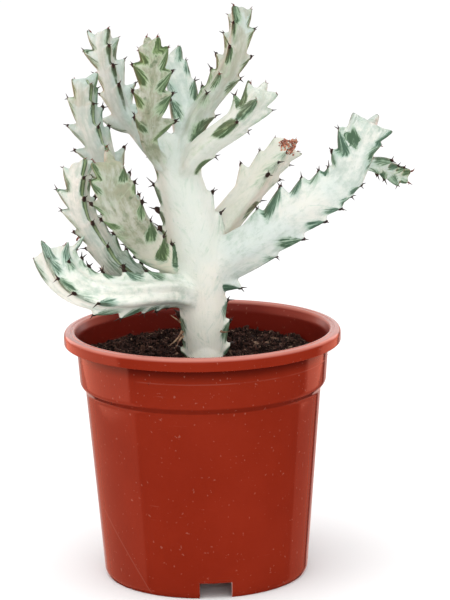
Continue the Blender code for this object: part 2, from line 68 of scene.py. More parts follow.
MM = 0.001
POT_LOW, POT_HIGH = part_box("pot")
POT_X = (POT_LOW.x + POT_HIGH.x) / 2
print("nodes:", sorted(frame["nodes"]), "pot axis at x =", round(POT_X, 4))

# %% [markdown]
# ## The camera
# The photograph was taken from a little under two metres away with a long lens, looking down by about twelve
# degrees. A long lens keeps the pot's sides nearly straight. The lens is given by how many pixels of the
# picture one radian covers, because that can be measured from the ellipse of the pot's lip. The camera could be
# aimed with a constraint, but three plain turns say exactly what it does: tilt, pan, and a slight roll.

# %% Camera
PICTURE_HEIGHT = 600
FOCAL_PIXELS = 2856
CAMERA_PLACE = (POT_X, -1.911, 0.606)
CAMERA_TILT_DOWN = math.radians(12.25)
CAMERA_PAN = -math.atan(23.8 / FOCAL_PIXELS)
CAMERA_ROLL = math.radians(-0.95)

camera = bpy.data.objects.new("camera", bpy.data.cameras.new("camera"))
bpy.context.scene.collection.objects.link(camera)
camera.data.sensor_width = 36
camera.data.lens = camera.data.sensor_width * FOCAL_PIXELS / PICTURE_HEIGHT
camera.data.clip_end = 20
aim = Matrix.Rotation(CAMERA_PAN, 4, "Z") @ Matrix.Rotation(math.pi / 2 - CAMERA_TILT_DOWN, 4, "X")
camera.matrix_world = Matrix.Translation(CAMERA_PLACE) @ aim @ Matrix.Rotation(CAMERA_ROLL, 4, "Z")
bpy.context.scene.camera = camera
bpy.context.scene.view_settings.view_transform = "Standard"
print("lens", round(camera.data.lens, 1), "mm")

# %% [markdown]
# ## Light
# A plant like this is lit in a white room: light comes from everywhere, a little more of it from above and from
# the left. The world gives the even part, and two softboxes give the direction. What shines is another matter.
# Moulded plastic mirrors the boards of the studio, which show on the pot as paler upright bands with sharp
# edges at both sides. They are area lights that only glossy rays see, so their place can be chosen for the
# reflection alone. In the photograph the bands are a paler red and not white, as on plastic that lets a little
# light in and sends it back coloured. A mirror image has no such colour, so the boards bring it along. The
# floor is left out of reflections, because the pot would show it as a white sheet.

# %% Light and floor
SEEN_WORLD = 1.1
DIFFUSE_WORLD = 1.05
MIRRORED_WORLD = 0.03
WHITE = (1.0, 1.0, 1.0)
BOARD_TINT = (1.0, 0.3, 0.2)
HORIZON_TINT = (1.0, 0.6, 0.52)


def softbox(name, place, target, width, height, radiance, seen_by, colour=WHITE):
    """A rectangular area light that faces target, of the given radiance: power = radiance x pi x area."""
    data = bpy.data.lights.new(name, "AREA")
    data.shape = "RECTANGLE"
    data.size = width
    data.size_y = height
    data.energy = radiance * math.pi * width * height
    data.color = colour
    light = bpy.data.objects.new(name, data)
    facing = Vector(target) - Vector(place)
    light.matrix_world = Matrix.Translation(place) @ facing.to_track_quat("-Z", "Y").to_matrix().to_4x4()
    bpy.context.scene.collection.objects.link(light)
    light.visible_camera = False
    light.visible_diffuse = seen_by != "gloss"
    light.visible_glossy = seen_by != "matt"


world = bpy.data.worlds.new("white room")
world.use_nodes = True
bpy.context.scene.world = world
room = world.node_tree
background = room.nodes["Background"]
background.inputs["Color"].default_value = (1.0, 1.0, 1.0, 1.0)
# The camera, the matt surfaces and the mirrors each see the world at a strength of their own.
ray = room.nodes.new("ShaderNodeLightPath")
strength = None
for name, value in (("Is Diffuse Ray", DIFFUSE_WORLD), ("Is Glossy Ray", MIRRORED_WORLD)):
    mixed = room.nodes.new("ShaderNodeMix")
    mixed.inputs["A"].default_value = SEEN_WORLD
    if strength:
        room.links.new(strength, mixed.inputs["A"])
    mixed.inputs["B"].default_value = value
    room.links.new(ray.outputs[name], mixed.inputs["Factor"])
    strength = mixed.outputs["Result"]
room.links.new(strength, background.inputs["Strength"])

softbox("key softbox", (-0.3, -0.5, 2.1), (POT_X, 0, 0.2), 1.3, 1.3, 2.6, "matt")
softbox("front fill", (0.4, -2.6, 0.5), (POT_X, 0, 0.15), 1.8, 1.4, 2.5, "matt")
softbox("left board", (-1.0, 0.85, 0.2), (0.0, 0.85, 0.2), 2.4, 2.6, 0.95, "gloss", BOARD_TINT)
softbox("right board", (1.0, 0.9, 0.2), (0.0, 0.9, 0.2), 1.2, 2.6, 0.6, "gloss", BOARD_TINT)
softbox("left collar board", (-0.36, 0.197, 0.257), (0.0, 0.197, 0.257), 0.7, 0.487, 1.2,
        "gloss", BOARD_TINT)
softbox("right collar board", (0.34, 0.28, 0.257), (0.0, 0.28, 0.257), 0.4, 0.487, 1.3,
        "gloss", BOARD_TINT)
softbox("horizon board", (0.0, 2.1, -0.35), (0.0, 0.0, -0.35), 2.0, 1.3, 0.8, "gloss", HORIZON_TINT)
softbox("back board", (0.0, 2.0, 1.6), (0.0, 0.0, 1.6), 4.0, 2.6, 1.1, "gloss")
softbox("top board", (0.0, 0.3, 1.8), (0.0, 0.3, 0.0), 1.6, 1.2, 0.9, "gloss")

FLOOR_HALF = 9.0
floor_mesh = bpy.data.meshes.new("floor")
corners = [(-FLOOR_HALF, -FLOOR_HALF, 0), (FLOOR_HALF, -FLOOR_HALF, 0), (FLOOR_HALF, FLOOR_HALF, 0),
           (-FLOOR_HALF, FLOOR_HALF, 0)]
floor_mesh.from_pydata(corners, [], [(0, 1, 2, 3)])
floor = bpy.data.objects.new("floor", floor_mesh)
bpy.context.scene.collection.objects.link(floor)
floor.visible_glossy = False

# %% [markdown]
# ## Small helpers for materials and meshes
# A finish is a node tree, and every one below is built with the same three moves: make a node, set its inputs,
# and link one output to one input. A helper for each keeps the recipes short enough to read. A mesh is made
# from whole arrays: all the points at once, all the faces at once.

# %% Helpers for finishes
def new_finish(name):
    """A new material, its node tree and its Principled shader."""
    material = bpy.data.materials.new(name)
    material.use_nodes = True
    return material, material.node_tree, material.node_tree.nodes["Principled BSDF"]


def feed(tree, socket, value):
    """Links value into the socket if it is another node's output, and otherwise sets the socket to it."""
    if isinstance(value, bpy.types.NodeSocket):
        tree.links.new(value, socket)
    elif isinstance(value, tuple) and len(value) == 3 and socket.type == "RGBA":
        socket.default_value = (*value, 1.0)
    else:
        socket.default_value = value


def noise(tree, place, scale, detail=3.0, roughness=0.55, stretch=(1.0, 1.0, 1.0), shift=(0.0, 0.0, 0.0)):
    """Smooth random values about one half, on a place that is stretched and shifted first."""
    mapping = tree.nodes.new("ShaderNodeMapping")
    feed(tree, mapping.inputs["Vector"], place)
    mapping.inputs["Scale"].default_value = stretch
    mapping.inputs["Location"].default_value = shift
    node = tree.nodes.new("ShaderNodeTexNoise")
    feed(tree, node.inputs["Vector"], mapping.outputs["Vector"])
    node.inputs["Scale"].default_value = scale
    node.inputs["Detail"].default_value = detail
    node.inputs["Roughness"].default_value = roughness
    return node.outputs["Fac"]


def ramp(tree, value, low, high, to_low=0.0, to_high=1.0):
    """A smooth step: to_low below low, to_high above high, and an S curve between them."""
    node = tree.nodes.new("ShaderNodeMapRange")
    node.interpolation_type = "SMOOTHSTEP"
    feed(tree, node.inputs["Value"], value)
    for name, number in (("From Min", low), ("From Max", high), ("To Min", to_low), ("To Max", to_high)):
        node.inputs[name].default_value = number
    return node.outputs["Result"]


def calc(tree, operation, first, second=None, third=None):
    """One step of arithmetic on numbers."""
    node = tree.nodes.new("ShaderNodeMath")
    node.operation = operation
    for socket, value in zip(node.inputs, (first, second, third)):
        if value is not None:
            feed(tree, socket, value)
    return node.outputs["Value"]


def blend_colours(tree, share, first, second, kind="MIX"):
    """First colour where share is 0, second where it is 1."""
    node = tree.nodes.new("ShaderNodeMix")
    node.data_type = "RGBA"
    node.blend_type = kind
    feed(tree, node.inputs["Factor"], share)
    feed(tree, node.inputs[6], first)
    feed(tree, node.inputs[7], second)
    return node.outputs[2]


def bumped(tree, shader, height, depth, strength=1.0):
    """Lets a height value, worth depth metres, tilt the shader's normal."""
    node = tree.nodes.new("ShaderNodeBump")
    node.inputs["Strength"].default_value = strength
    node.inputs["Distance"].default_value = depth
    feed(tree, node.inputs["Height"], height)
    feed(tree, shader.inputs["Normal"], node.outputs["Normal"])


def object_place(tree):
    """The object's own coordinates, in metres."""
    return tree.nodes.new("ShaderNodeTexCoord").outputs["Object"]


def attribute(tree, name, kind="Fac"):
    """A value that the mesh stores at its points."""
    node = tree.nodes.new("ShaderNodeAttribute")
    node.attribute_name = name
    return node.outputs[kind]


def axes_of(tree, vector):
    """The X, Y and Z of a vector."""
    node = tree.nodes.new("ShaderNodeSeparateXYZ")
    feed(tree, node.inputs["Vector"], vector)
    return node.outputs["X"], node.outputs["Y"], node.outputs["Z"]


# %% Helpers for meshes
def in_frame(points_mm):
    """Places in metres, as the frame has them, of points in millimetres from the pot's axis."""
    return np.asarray(points_mm, float) * MM + (POT_X, 0.0, 0.0)


def make_piece(name, points_mm, faces, material, smooth=True):
    """An object of that mesh, whose points are given in millimetres from the pot's axis."""
    mesh = bpy.data.meshes.new(name)
    mesh.from_pydata(in_frame(points_mm).tolist(), [], faces)
    mesh.materials.append(material)
    mesh.update()
    if smooth:
        mesh.shade_smooth()
    piece = bpy.data.objects.new(name, mesh)
    bpy.context.scene.collection.objects.link(piece)
    return piece


def store(mesh, name, values):
    """Keeps one number, or one vector, for every point of a mesh, under that name."""
    values = np.asarray(values, np.float32)
    kind, key = ("FLOAT", "value") if values.ndim == 1 else ("FLOAT_VECTOR", "vector")
    layer = mesh.attributes.new(name, kind, "POINT")
    layer.data.foreach_set(key, values.ravel())


def turns(count):
    """Evenly spaced angles, once round."""
    return np.arange(count) * (2 * math.pi / count)


def ring_stack(profile, count, centre=(0.0, 0.0)):
    """Rings of count points round an upright axis, one ring for each (radius, height) of the profile."""
    radius, height = np.asarray(profile, float).T[:, :, None]
    angle = turns(count)
    return np.stack([centre[0] + radius * np.cos(angle), centre[1] + radius * np.sin(angle),
                     height + 0 * angle], axis=-1)


def grid_faces(rows, columns):
    """Four-sided faces of a grid of points whose columns close on themselves."""
    row, column = np.meshgrid(np.arange(rows - 1), np.arange(columns), indexing="ij")
    beside = (column + 1) % columns
    corners = [row * columns + column, row * columns + beside, (row + 1) * columns + beside,
               (row + 1) * columns + column]
    return np.stack(corners, axis=-1).reshape(-1, 4)


def pole_faces(columns, ring_start, pole, flip):
    """Triangles from a ring of points to one pole."""
    here = np.arange(columns)
    beside = (here + 1) % columns
    order = (beside, here) if flip else (here, beside)
    return np.column_stack([order[0] + ring_start, order[1] + ring_start, np.full(columns, pole)])


def closed_faces(rows, columns):
    """Faces of a stack of rings that a pole closes at each end. The two poles' points follow the rings'."""
    count = rows * columns
    return (grid_faces(rows, columns).tolist() + pole_faces(columns, 0, count, True).tolist()
            + pole_faces(columns, count - columns, count + 1, False).tolist())


def copied_faces(sides, ends, copies, each):
    """The faces of many copies of a shape of so many points: first all with four sides, then all triangles."""
    starts = np.arange(copies)[:, None, None] * each
    return (sides + starts).reshape(-1, 4).tolist() + (ends + starts).reshape(-1, 3).tolist()


def turned(profile, pole_heights, steps, axis_x=0.0):
    """A closed solid round an upright axis: the profile's (radius, height) points turned in even steps."""
    rings = ring_stack(profile, steps, (axis_x, 0.0))
    poles = [(axis_x, 0.0, height) for height in pole_heights]
    return np.vstack([rings.reshape(-1, 3), poles]), closed_faces(len(rings), steps)


# %% [markdown]
# ## Where the plant's stems run
# The euphorbia is one plant: a stout trunk that forks into twelve branches. Each stem is a centre line with
# three to five ribs round it, and each rib is a row of teeth that lean to the stem's tip. The list gives what
# a grower would measure: the line's points, the stem's girth from base to tip, and where each tooth stands.
# But for a few small teeth and a little shaping, the solids have the same list, so the finer plant keeps their
# form.

# %% Stems
# Routes are (across, away from the viewer, up) from the pot's axis. Girth is the ribs' reach between teeth, and
# core is the reach between ribs as a share of it. A rib is its angle round the stem, with 0 on the right, 90
# towards the viewer and 180 on the left, and its teeth as (how far along the stem, how far out the tip stands).
# Two stems have broad lobes for teeth: slope and drop say how straight their lower side is and how long the
# upper one.
STEMS = {
    "trunk": {
        "route": [(2, 0, 152.6), (1, 0, 172), (0, 0, 193), (-2, 0, 214), (-5, 0, 235), (-9, 0, 256),
                  (-14, 1, 277), (-15, 3, 294), (-13, 5, 306)],
        "girth": [14.6, 15.0, 16.0, 19.0, 20.0, 18.0, 16.0, 13.5, 8.0],
        "core": 0.9,
        "ribs": [(2, [(7, 19), (24, 19), (38, 18), (96, 22), (110, 20)]),
                 (182, [(6, 19), (14, 16), (30, 17), (78, 21), (94, 21), (108, 20), (124, 18), (140, 17)]),
                 (282, [(20, 19), (38, 20), (56, 22), (74, 23), (91, 22), (108, 20), (124, 18)])],
    },
    "upper left back": {
        "route": [(-22, 0, 284), (-33, 5, 299), (-43, 14, 311), (-51, 20, 319), (-56, 24, 331),
                  (-60, 28, 345), (-63, 31, 356), (-64, 33, 367), (-63, 34, 375)],
        "girth": [7.5, 8.0, 8.0, 8.0, 7.0, 6.0],
        "core": 0.86,
        "ribs": [(335, [(36, 12), (52, 14), (68, 16), (86, 13.5), (105, 11.5)]),
                 (68, [(37, 12), (68, 13), (82, 13), (98, 12)]),
                 (205, [(54, 18), (68, 12), (82, 11), (97, 16), (107, 11)])],
    },
    "left": {
        "route": [(-13, 5, 217), (-35, 10, 234), (-48, 13, 251), (-58, 12, 269), (-65, 10, 289),
                  (-70, 8, 303), (-75, 6, 318), (-76, 4, 332), (-76, 2, 347)],
        "girth": [8.5, 9.0, 9.5, 9.0, 8.5, 7.0],
        "core": 0.86,
        "ribs": [(328, [(56, 13), (74, 15), (92, 18), (110, 13), (127, 13), (142, 10)]),
                 (64, [(70, 13), (87, 14), (103, 14), (118, 14), (136, 13), (149, 10)]),
                 (200, [(52, 13), (69, 14), (86, 15), (103, 18), (120, 16), (136, 13.5), (149, 8)])],
    },
    "lower left": {
        "route": [(-9, 0, 194), (-26, -9, 202), (-45, -15, 211), (-60, -18, 224), (-69, -20, 239),
                  (-77, -22, 253), (-81, -24, 267), (-81, -24, 282), (-79, -22, 294)],
        "girth": [8.5, 9.0, 9.5, 9.0, 8.0, 6.5],
        "core": 0.86,
        "ribs": [(332, [(44, 12), (60, 13), (77, 13), (93, 12), (110, 12), (128, 10)]),
                 (70, [(58, 13), (77, 14), (97, 14), (115, 13), (128, 12)]),
                 (202, [(62, 11), (78, 12), (92, 12.5), (106, 15), (118, 16), (132, 12)])],
    },
    "front left": {
        "route": [(-8, -2, 214), (-22, -6, 221.5), (-31, -14, 227.5), (-38, -24, 238), (-45.5, -34, 250),
                  (-51.5, -43, 262), (-55.5, -49, 275), (-57, -54, 285), (-58, -58, 293), (-59.5, -61, 300)],
        "girth": [9.0, 10.5, 11.5, 12.0, 12.5, 12.0, 7.0],
        "core": 0.74,
        "ribs": [(12, [(24, 12), (43, 13), (62, 13), (84, 15.5), (104, 14.5), (116, 8)]),
                 (168, [(40, 12), (55, 12), (69, 13), (82, 15.5), (94, 18), (110, 15)]),
                 (270, [(36, 14), (52, 15), (68, 15), (84, 14), (100, 12)])],
    },
    "front top": {
        "route": [(-25, -3, 284), (-33, -12, 302), (-33, -22, 319), (-31, -28, 334), (-30, -31, 350),
                  (-31, -33, 366), (-33, -34, 375)],
        "girth": [5.0, 5.5, 7.0, 7.2, 7.2, 6.0],
        "core": 0.86,
        "slope": 0.75,
        "drop": 4.5,
        "ribs": [(4, [(45, 18), (64, 14), (78, 13.5), (92, 12.5)]),
                 (176, [(45, 10), (64, 13), (84, 13), (95, 7)]),
                 (270, [(40, 12), (56, 13), (72, 13), (88, 12)])],
    },
    "top behind": {
        "route": [(-10, 4, 287), (-8, 13, 304), (-10.5, 20, 322), (-14, 25, 338), (-19, 29, 352),
                  (-21, 31, 358)],
        "girth": [11.0, 13.0, 12.5, 10.0, 7.0],
        "core": 0.84,
        "ribs": [(12, [(38, 14), (54, 12.5), (68, 11.5)]),
                 (120, [(44, 14), (60, 13)]),
                 (235, [(30, 16), (46, 15), (61, 13), (72, 10)])],
    },
    "tall right": {
        "route": [(-11, 0, 280), (-8, 4, 297), (-2, 6, 313), (5, 8, 325), (13, 10, 336), (21, 12, 348),
                  (26, 14, 360), (28, 15, 372), (29, 16, 382), (28, 16, 392)],
        "girth": [9.0, 9.5, 8.5, 7.5, 8.0, 6.8, 5.6],
        "core": 0.86,
        "ribs": [(340, [(46, 11), (76, 11), (90, 12), (107, 11.5), (118, 9)]),
                 (116, [(56, 10), (72, 11), (94, 12), (111, 10)]),
                 (212, [(58, 10), (72, 12), (85, 14), (102, 11.5), (116, 9)])],
    },
    "right upper": {
        "route": [(-11, 0, 278), (-3, -8, 292), (8, -15, 303), (20, -22, 313), (30, -27, 322),
                  (38, -31, 332), (44, -34, 341)],
        "girth": [9.0, 9.5, 9.0, 8.8, 8.4, 7.0],
        "core": 0.84,
        "ribs": [(340, [(28, 11), (60, 11), (80, 14)]),
                 (98, [(66, 12), (86, 11)]),
                 (208, [(72, 15), (88, 11)]),
                 (268, [(36, 12), (54, 13), (73, 12)])],
    },
    "right middle": {
        "route": [(1, 0, 224), (13, 9, 239), (24.5, 17, 251.5), (34, 23, 262), (43.5, 28, 273.5),
                  (54, 31, 285), (63.5, 34, 296)],
        "girth": [10.5, 11.0, 10.5, 10.0, 9.6, 7.6],
        "core": 0.86,
        "ribs": [(348, [(56, 11), (76, 12.5), (88, 11), (99, 10)]),
                 (80, [(72, 11.5), (84, 11.5), (92, 10.5)]),
                 (190, [(68, 16.5), (82, 12), (96, 9.5)])],
    },
    "big right": {
        "route": [(1, 0, 207), (17, -3, 220), (34, -8, 231), (50, -12, 242), (66, -16, 254), (79.5, -19, 264),
                  (92, -21, 273), (100, -23, 282), (104, -25, 293), (109, -26, 306), (116, -27, 318)],
        "girth": [15.0, 15.5, 14.5, 13.5, 12.5, 11.5, 11.0, 9.5],
        "core": 0.7,
        "slope": 0.85,
        "drop": 5.5,
        "ribs": [(4, [(17, 22.5), (52, 16.5), (74, 17), (94, 16), (108, 14.5), (117, 12.5), (125, 12),
                      (142, 12), (154, 14), (165, 12)]),
                 (178, [(61, 18.5), (84, 22), (99, 18.5), (112, 16), (121, 13.5), (138, 16), (152, 17),
                        (163, 12)]),
                 (283, [(50, 16), (68, 17), (86, 17), (103, 16), (119, 15), (135, 14), (150, 12)])],
    },
    "far right": {
        "route": [(104, -16, 288), (112, -16, 287), (120, -10, 285), (126, -2, 281), (132.5, 6, 276),
                  (138.5, 11, 273.5), (143, 14, 272.5)],
        "girth": [5.0, 5.2, 5.6, 5.2, 4.2],
        "core": 0.86,
        "ribs": [(20, [(22, 7), (34, 7.5), (46, 8)]),
                 (150, [(24, 9), (34, 8), (44, 8)]),
                 (265, [(27, 7.5), (38, 7.5)])],
    },
    "low left": {
        "route": [(-5, 0, 194), (-20, -13, 201), (-35, -29, 204), (-51, -41, 205), (-67, -46, 207),
                  (-80, -45, 212), (-90, -41, 220), (-96, -37, 230), (-98, -34, 238)],
        "girth": [11.0, 12.5, 12.5, 12.5, 13.5, 13.0],
        "core": 0.84,
        "ribs": [(2, [(48, 15), (66, 17), (84, 15), (98, 14.5), (110, 15), (122, 14)]),
                 (106, [(82, 15), (95, 15), (107, 15), (120, 14)]),
                 (182, [(20, 13), (34, 15), (48, 15), (66, 17), (82, 16), (124, 15)]),
                 (282, [(40, 15), (56, 15), (72, 15), (88, 15), (104, 13)]),
                 (54, [(112, 13.2), (126, 13.8)])],
    },
}
print(len(STEMS), "stems,", sum(len(rib[1]) for stem in STEMS.values() for rib in stem["ribs"]), "teeth")

# %% [markdown]
# ## The shape of one stem
# A stem's surface is a function of two parameters, how far along the stem and the angle round it. The reach
# from the centre line is a nearly round core, and on each rib a wing is added to it. Seen from the side a wing
# is a row of teeth with a long slope below and a steep drop above. Seen along the stem it is a cusp, broad at
# the foot and thin at the crest, which is what makes the teeth look like horns. Last, what stands proud is
# pushed along the stem to its tip, so that the teeth hook upwards.

# %% Stem surface
# Lengths are in millimetres, and FACE_HOLLOW_AT is an angle in radians. The others are shares, powers, counts.
ROUTE_STEP = 1.0
GIRTH_SOFTEN = 6
SLOPE_START = 0.14
SLOPE_POWER = 1.05
DROP_LENGTH = 3.2
RIDGE_HALF_WIDTH = 7.0
RIDGE_POWER = 1.4
TOOTH_HALF_WIDTH = 3.4
TOOTH_BROADENS = 0.2
CREST_FLAT = 0.5
CUSP_POWER = 1.9
DROP_DRIFT = 0.5
FACE_HOLLOW = 0.13
FACE_HOLLOW_AT = 2.1
LEAN_SHARE = 0.36
LEAN_SOFTEN = 2.5
LEAN_ROUNDS = 4
TIP_LEAN = 0.75
TIP_LEAN_FROM = 16.0
TIP_SHORT = 3.0
TIP_ROUNDING = 5.0
TIP_END_SHARE = 0.62
TIP_CAP = 0.8
FIRST_SLOPE = 16.0
CLAW_SPACING = 7.0
CLAW_REACH = 1.3
CLAW_OVER = 1.0
PAST_ALL_TEETH = 1e6


def unit(vectors):
    """Vectors scaled to length one, along their last axis."""
    return vectors / np.linalg.norm(vectors, axis=-1, keepdims=True)


def smooth_route(route):
    """Points about a millimetre apart on cubic Hermite pieces through the route, and the length run at each."""
    knots = np.array(route, float)
    steps = np.diff(knots, axis=0)
    chord = np.linalg.norm(steps, axis=1)
    at = np.concatenate([[0.0], np.cumsum(chord)])
    slope = steps / chord[:, None]
    share = chord[1:] / (chord[:-1] + chord[1:])
    inner = slope[:-1] * share[:, None] + slope[1:] * (1.0 - share)[:, None]
    tangent = np.vstack([slope[:1], inner, slope[-1:]])
    where = np.linspace(0.0, at[-1], int(at[-1] / ROUTE_STEP) + 2)
    piece = np.clip(np.searchsorted(at, where, side="right") - 1, 0, len(chord) - 1)
    span = chord[piece][:, None]
    t = (where - at[piece])[:, None] / span
    points = (2 * t**3 - 3 * t**2 + 1) * knots[piece] + (t**3 - 2 * t**2 + t) * span * tangent[piece]
    points = points + (3 * t**2 - 2 * t**3) * knots[piece + 1] + (t**3 - t**2) * span * tangent[piece + 1]
    run = np.concatenate([[0.0], np.cumsum(np.linalg.norm(np.diff(points, axis=0), axis=1))])
    return points, run


def s_curve(values, low, high):
    """0 below low, 1 above high, and a smooth S between."""
    t = np.clip((values - low) / (high - low), 0.0, 1.0)
    return t * t * (3.0 - 2.0 * t)


class Stem:
    """One stem: its centre line, the directions across it, and the surface round it."""

    def __init__(self, name, plan):
        self.name = name
        self.points, self.run = smooth_route(plan["route"])
        self.length = self.run[-1]
        self.end = self.length - TIP_SHORT
        self.tangents = unit(np.gradient(self.points, self.run, axis=0))
        self.plan = plan
        self.slope_power = plan.get("slope", SLOPE_POWER)
        self.drop_length = plan.get("drop", DROP_LENGTH)
        girths = np.interp(self.run, np.linspace(0.0, self.length, len(plan["girth"])), plan["girth"])
        window = np.ones(2 * GIRTH_SOFTEN + 1) / (2 * GIRTH_SOFTEN + 1)
        self.girths = np.convolve(np.pad(girths, GIRTH_SOFTEN, mode="edge"), window, mode="valid")
        self.ribs = []
        for angle_deg, teeth in plan["ribs"]:
            tips = np.array(teeth, float)
            if tips[-1, 0] < self.length - CLAW_SPACING:
                tips = np.vstack([tips, (self.length + CLAW_OVER, CLAW_REACH * self.girths[-1])])
            rise = tips[:, 1] - self.girth(tips[:, 0])
            proud = tips[:, 1] - self.core(tips[:, 0])
            roots = self.root_of(tips[:, 0], proud)
            first = max(roots[0] - min(roots[1] - roots[0], FIRST_SLOPE), 0.0)
            self.ribs.append({"angle": math.radians(angle_deg), "tips": tips, "rise": rise, "roots": roots,
                              "first": first})

    def frame(self, station):
        """Centre, tangent, direction to the right and direction to the viewer at stations of any shape."""
        inside = np.clip(station, 0.0, self.length)
        centre = np.stack([np.interp(inside, self.run, self.points[:, k]) for k in range(3)], axis=-1)
        tangent = unit(np.stack([np.interp(inside, self.run, self.tangents[:, k]) for k in range(3)], axis=-1))
        centre = centre + (station - inside)[..., None] * tangent
        right = unit(np.cross(tangent, (0.0, -1.0, 0.0)))
        return centre, tangent, right, np.cross(right, tangent)

    def girth(self, station):
        """The ribs' reach between teeth, drawn in at the tip like a dome."""
        reach = np.interp(station, self.run, self.girths)
        past = np.clip((station - self.end + TIP_ROUNDING) / TIP_ROUNDING, 0.0, 1.0)
        dome = np.sqrt(np.maximum(1.0 - past**2, 0.0))
        return reach * (TIP_END_SHARE + (1.0 - TIP_END_SHARE) * dome)

    def core(self, station):
        """The reach between ribs."""
        return self.girth(station) * self.plan["core"]

    def lean(self, root, proud):
        """How far a point that stands proud of the core is pushed to the tip: little at first, then evenly.

        Young teeth close to the stem's tip lean much more, and stand round it like claws.
        """
        share = LEAN_SHARE + TIP_LEAN * s_curve(root, self.end - TIP_LEAN_FROM, self.end)
        return share * proud**2 / (proud + LEAN_SOFTEN)

    def root_of(self, station, proud):
        """The station before leaning, found by putting the lean back a few times."""
        root = station
        for _ in range(LEAN_ROUNDS):
            root = station - self.lean(root, proud)
        return root

    def aside(self, rib, root, angle):
        """How far beside a rib's crest a point lies, measured round the core."""
        return np.abs(np.mod(angle - rib["angle"] + math.pi, 2 * math.pi) - math.pi) * self.core(root)

    def crest(self, rib, root):
        """Height of a rib's teeth over its ridge, the tooth's full rise, and how far up its slope a point is.

        The slope rises from one tooth to the next as a power of the share of the way. Behind each tooth the
        height drops to nothing along a short S curve.
        """
        roots, rise = rib["roots"], rib["rise"]
        following = np.searchsorted(roots, root)
        before = np.concatenate([[rib["first"]], roots])[following]
        ahead = np.concatenate([roots, [PAST_ALL_TEETH]])[following]
        way = (root - before) / np.maximum(ahead - before, 1.0)
        up = np.clip((way - SLOPE_START) / (1 - SLOPE_START), 0, 1)
        slope = np.concatenate([rise, [0.0]])[following] * up**self.slope_power
        last = np.concatenate([[0.0], rise])[following] * (1.0 - s_curve(root - before, 0.0, self.drop_length))
        return np.maximum(slope, last), np.concatenate([rise, rise[-1:]])[following], up

    def wing(self, rib, root, angle):
        """Height of one rib's wing: a low ridge, plus a cusp for each tooth.

        Both fall as a power of a share that is 1 at the crest and 0 at the foot, and a tall tooth has the
        broader foot. Beside the crest a tooth ends earlier, so it is pointed when it is seen from the front.
        """
        aside = self.aside(rib, root, angle)
        height, rise, _ = self.crest(rib, root + DROP_DRIFT * aside)
        out = np.maximum(aside - CREST_FLAT, 0.0)
        level = self.girth(root) - self.core(root)
        ridge = level * np.maximum(1.0 - out / RIDGE_HALF_WIDTH, 0.0)**RIDGE_POWER
        share = 1.0 - out / (TOOTH_HALF_WIDTH + TOOTH_BROADENS * rise)
        return ridge + height * np.maximum(share, 0.0)**CUSP_POWER

    def reach(self, root, angle):
        """Reach of the core, which is hollowed between ribs, and the height of the widest wing on it."""
        core = self.core(root)
        angles = np.sort([rib["angle"] for rib in self.ribs])
        gaps = np.diff(np.append(angles, angles[0] + 2 * math.pi))
        past = np.mod(angle - angles[0], 2 * math.pi)
        piece = np.clip(np.searchsorted(angles - angles[0], past, side="right") - 1, 0, len(angles) - 1)
        share = (past - (angles - angles[0])[piece]) / gaps[piece]
        hollow = FACE_HOLLOW * np.sin(math.pi * share)**2 * gaps[piece] / FACE_HOLLOW_AT
        wings = np.zeros(np.broadcast(root, angle).shape)
        for rib in self.ribs:
            wings = np.maximum(wings, self.wing(rib, root, angle))
        return core * (1.0 - hollow), wings

    def place(self, root, angle):
        """The surface's point for a root station and an angle."""
        core, wings = self.reach(root, angle)
        centre, _, right, front = self.frame(root + self.lean(root, wings))
        way = np.cos(angle)[..., None] * right + np.sin(angle)[..., None] * front
        return centre + (core + wings)[..., None] * way


stems = [Stem(name, plan) for name, plan in STEMS.items()]
print("longest stem", round(max(stem.length for stem in stems)), "mm")

# %% [markdown]
# ## One skin over all the stems
# A branch grows out of the trunk with no seam. The stems could be joined by a Boolean union, but that leaves a
# sharp crease at each fork. Here the separate surfaces are poured into one fine grid of little cubes (a voxel
# remesh) and come back as one skin. Only near the forks is it then smoothed, by moving each point towards the
# mean of its neighbours many times, which fills the creases as the living plant does.

# %% Raw stems, remeshed into one skin
ROW_STEP = 0.6
AROUND = 168
CAP_ROWS = 5
VOXEL = 0.7
SKIN_TRIANGLES = 196000
# The trunk's plain taper below the soil, as (radius, height), and how far its axis lies from the pot's.
BURIED_PROFILE = [(10.0, 112.0), (13.4, 152.0), (10.5, 161.0)]
STEM_X = 2.0


def stem_surface(stem):
    """Points and faces of one closed stem: rows along it, a small dome at its tip, a flat pole at its base."""
    rows = np.linspace(0.0, stem.end, int(stem.end / ROW_STEP) + 2)
    angle = turns(AROUND)
    body = stem.place(rows[:, None] + 0 * angle, 0 * rows[:, None] + angle)
    rise = np.linspace(0.0, math.pi / 2, CAP_ROWS + 1)[1:-1]
    centre, tangent, _, _ = stem.frame(np.array([stem.end]))
    rim = body[-1] - centre
    cap = centre + rim[None] * np.cos(rise)[:, None, None] + tangent * TIP_CAP * np.sin(rise)[:, None, None]
    rings = np.concatenate([body, cap])
    points = np.vstack([rings.reshape(-1, 3), stem.points[:1], centre + tangent * TIP_CAP])
    return points, closed_faces(len(rings), AROUND)


def applied(piece):
    """Puts a piece's modifiers into its mesh."""
    seen = piece.evaluated_get(bpy.context.evaluated_depsgraph_get())
    piece.data = bpy.data.meshes.new_from_object(seen)
    piece.modifiers.clear()
    return piece


def points_of(mesh):
    """A mesh's points as an array, in millimetres from the pot's axis."""
    flat = np.empty(len(mesh.vertices) * 3, np.float32)
    mesh.vertices.foreach_get("co", flat)
    return (flat.reshape(-1, 3).astype(float) - (POT_X, 0.0, 0.0)) / MM


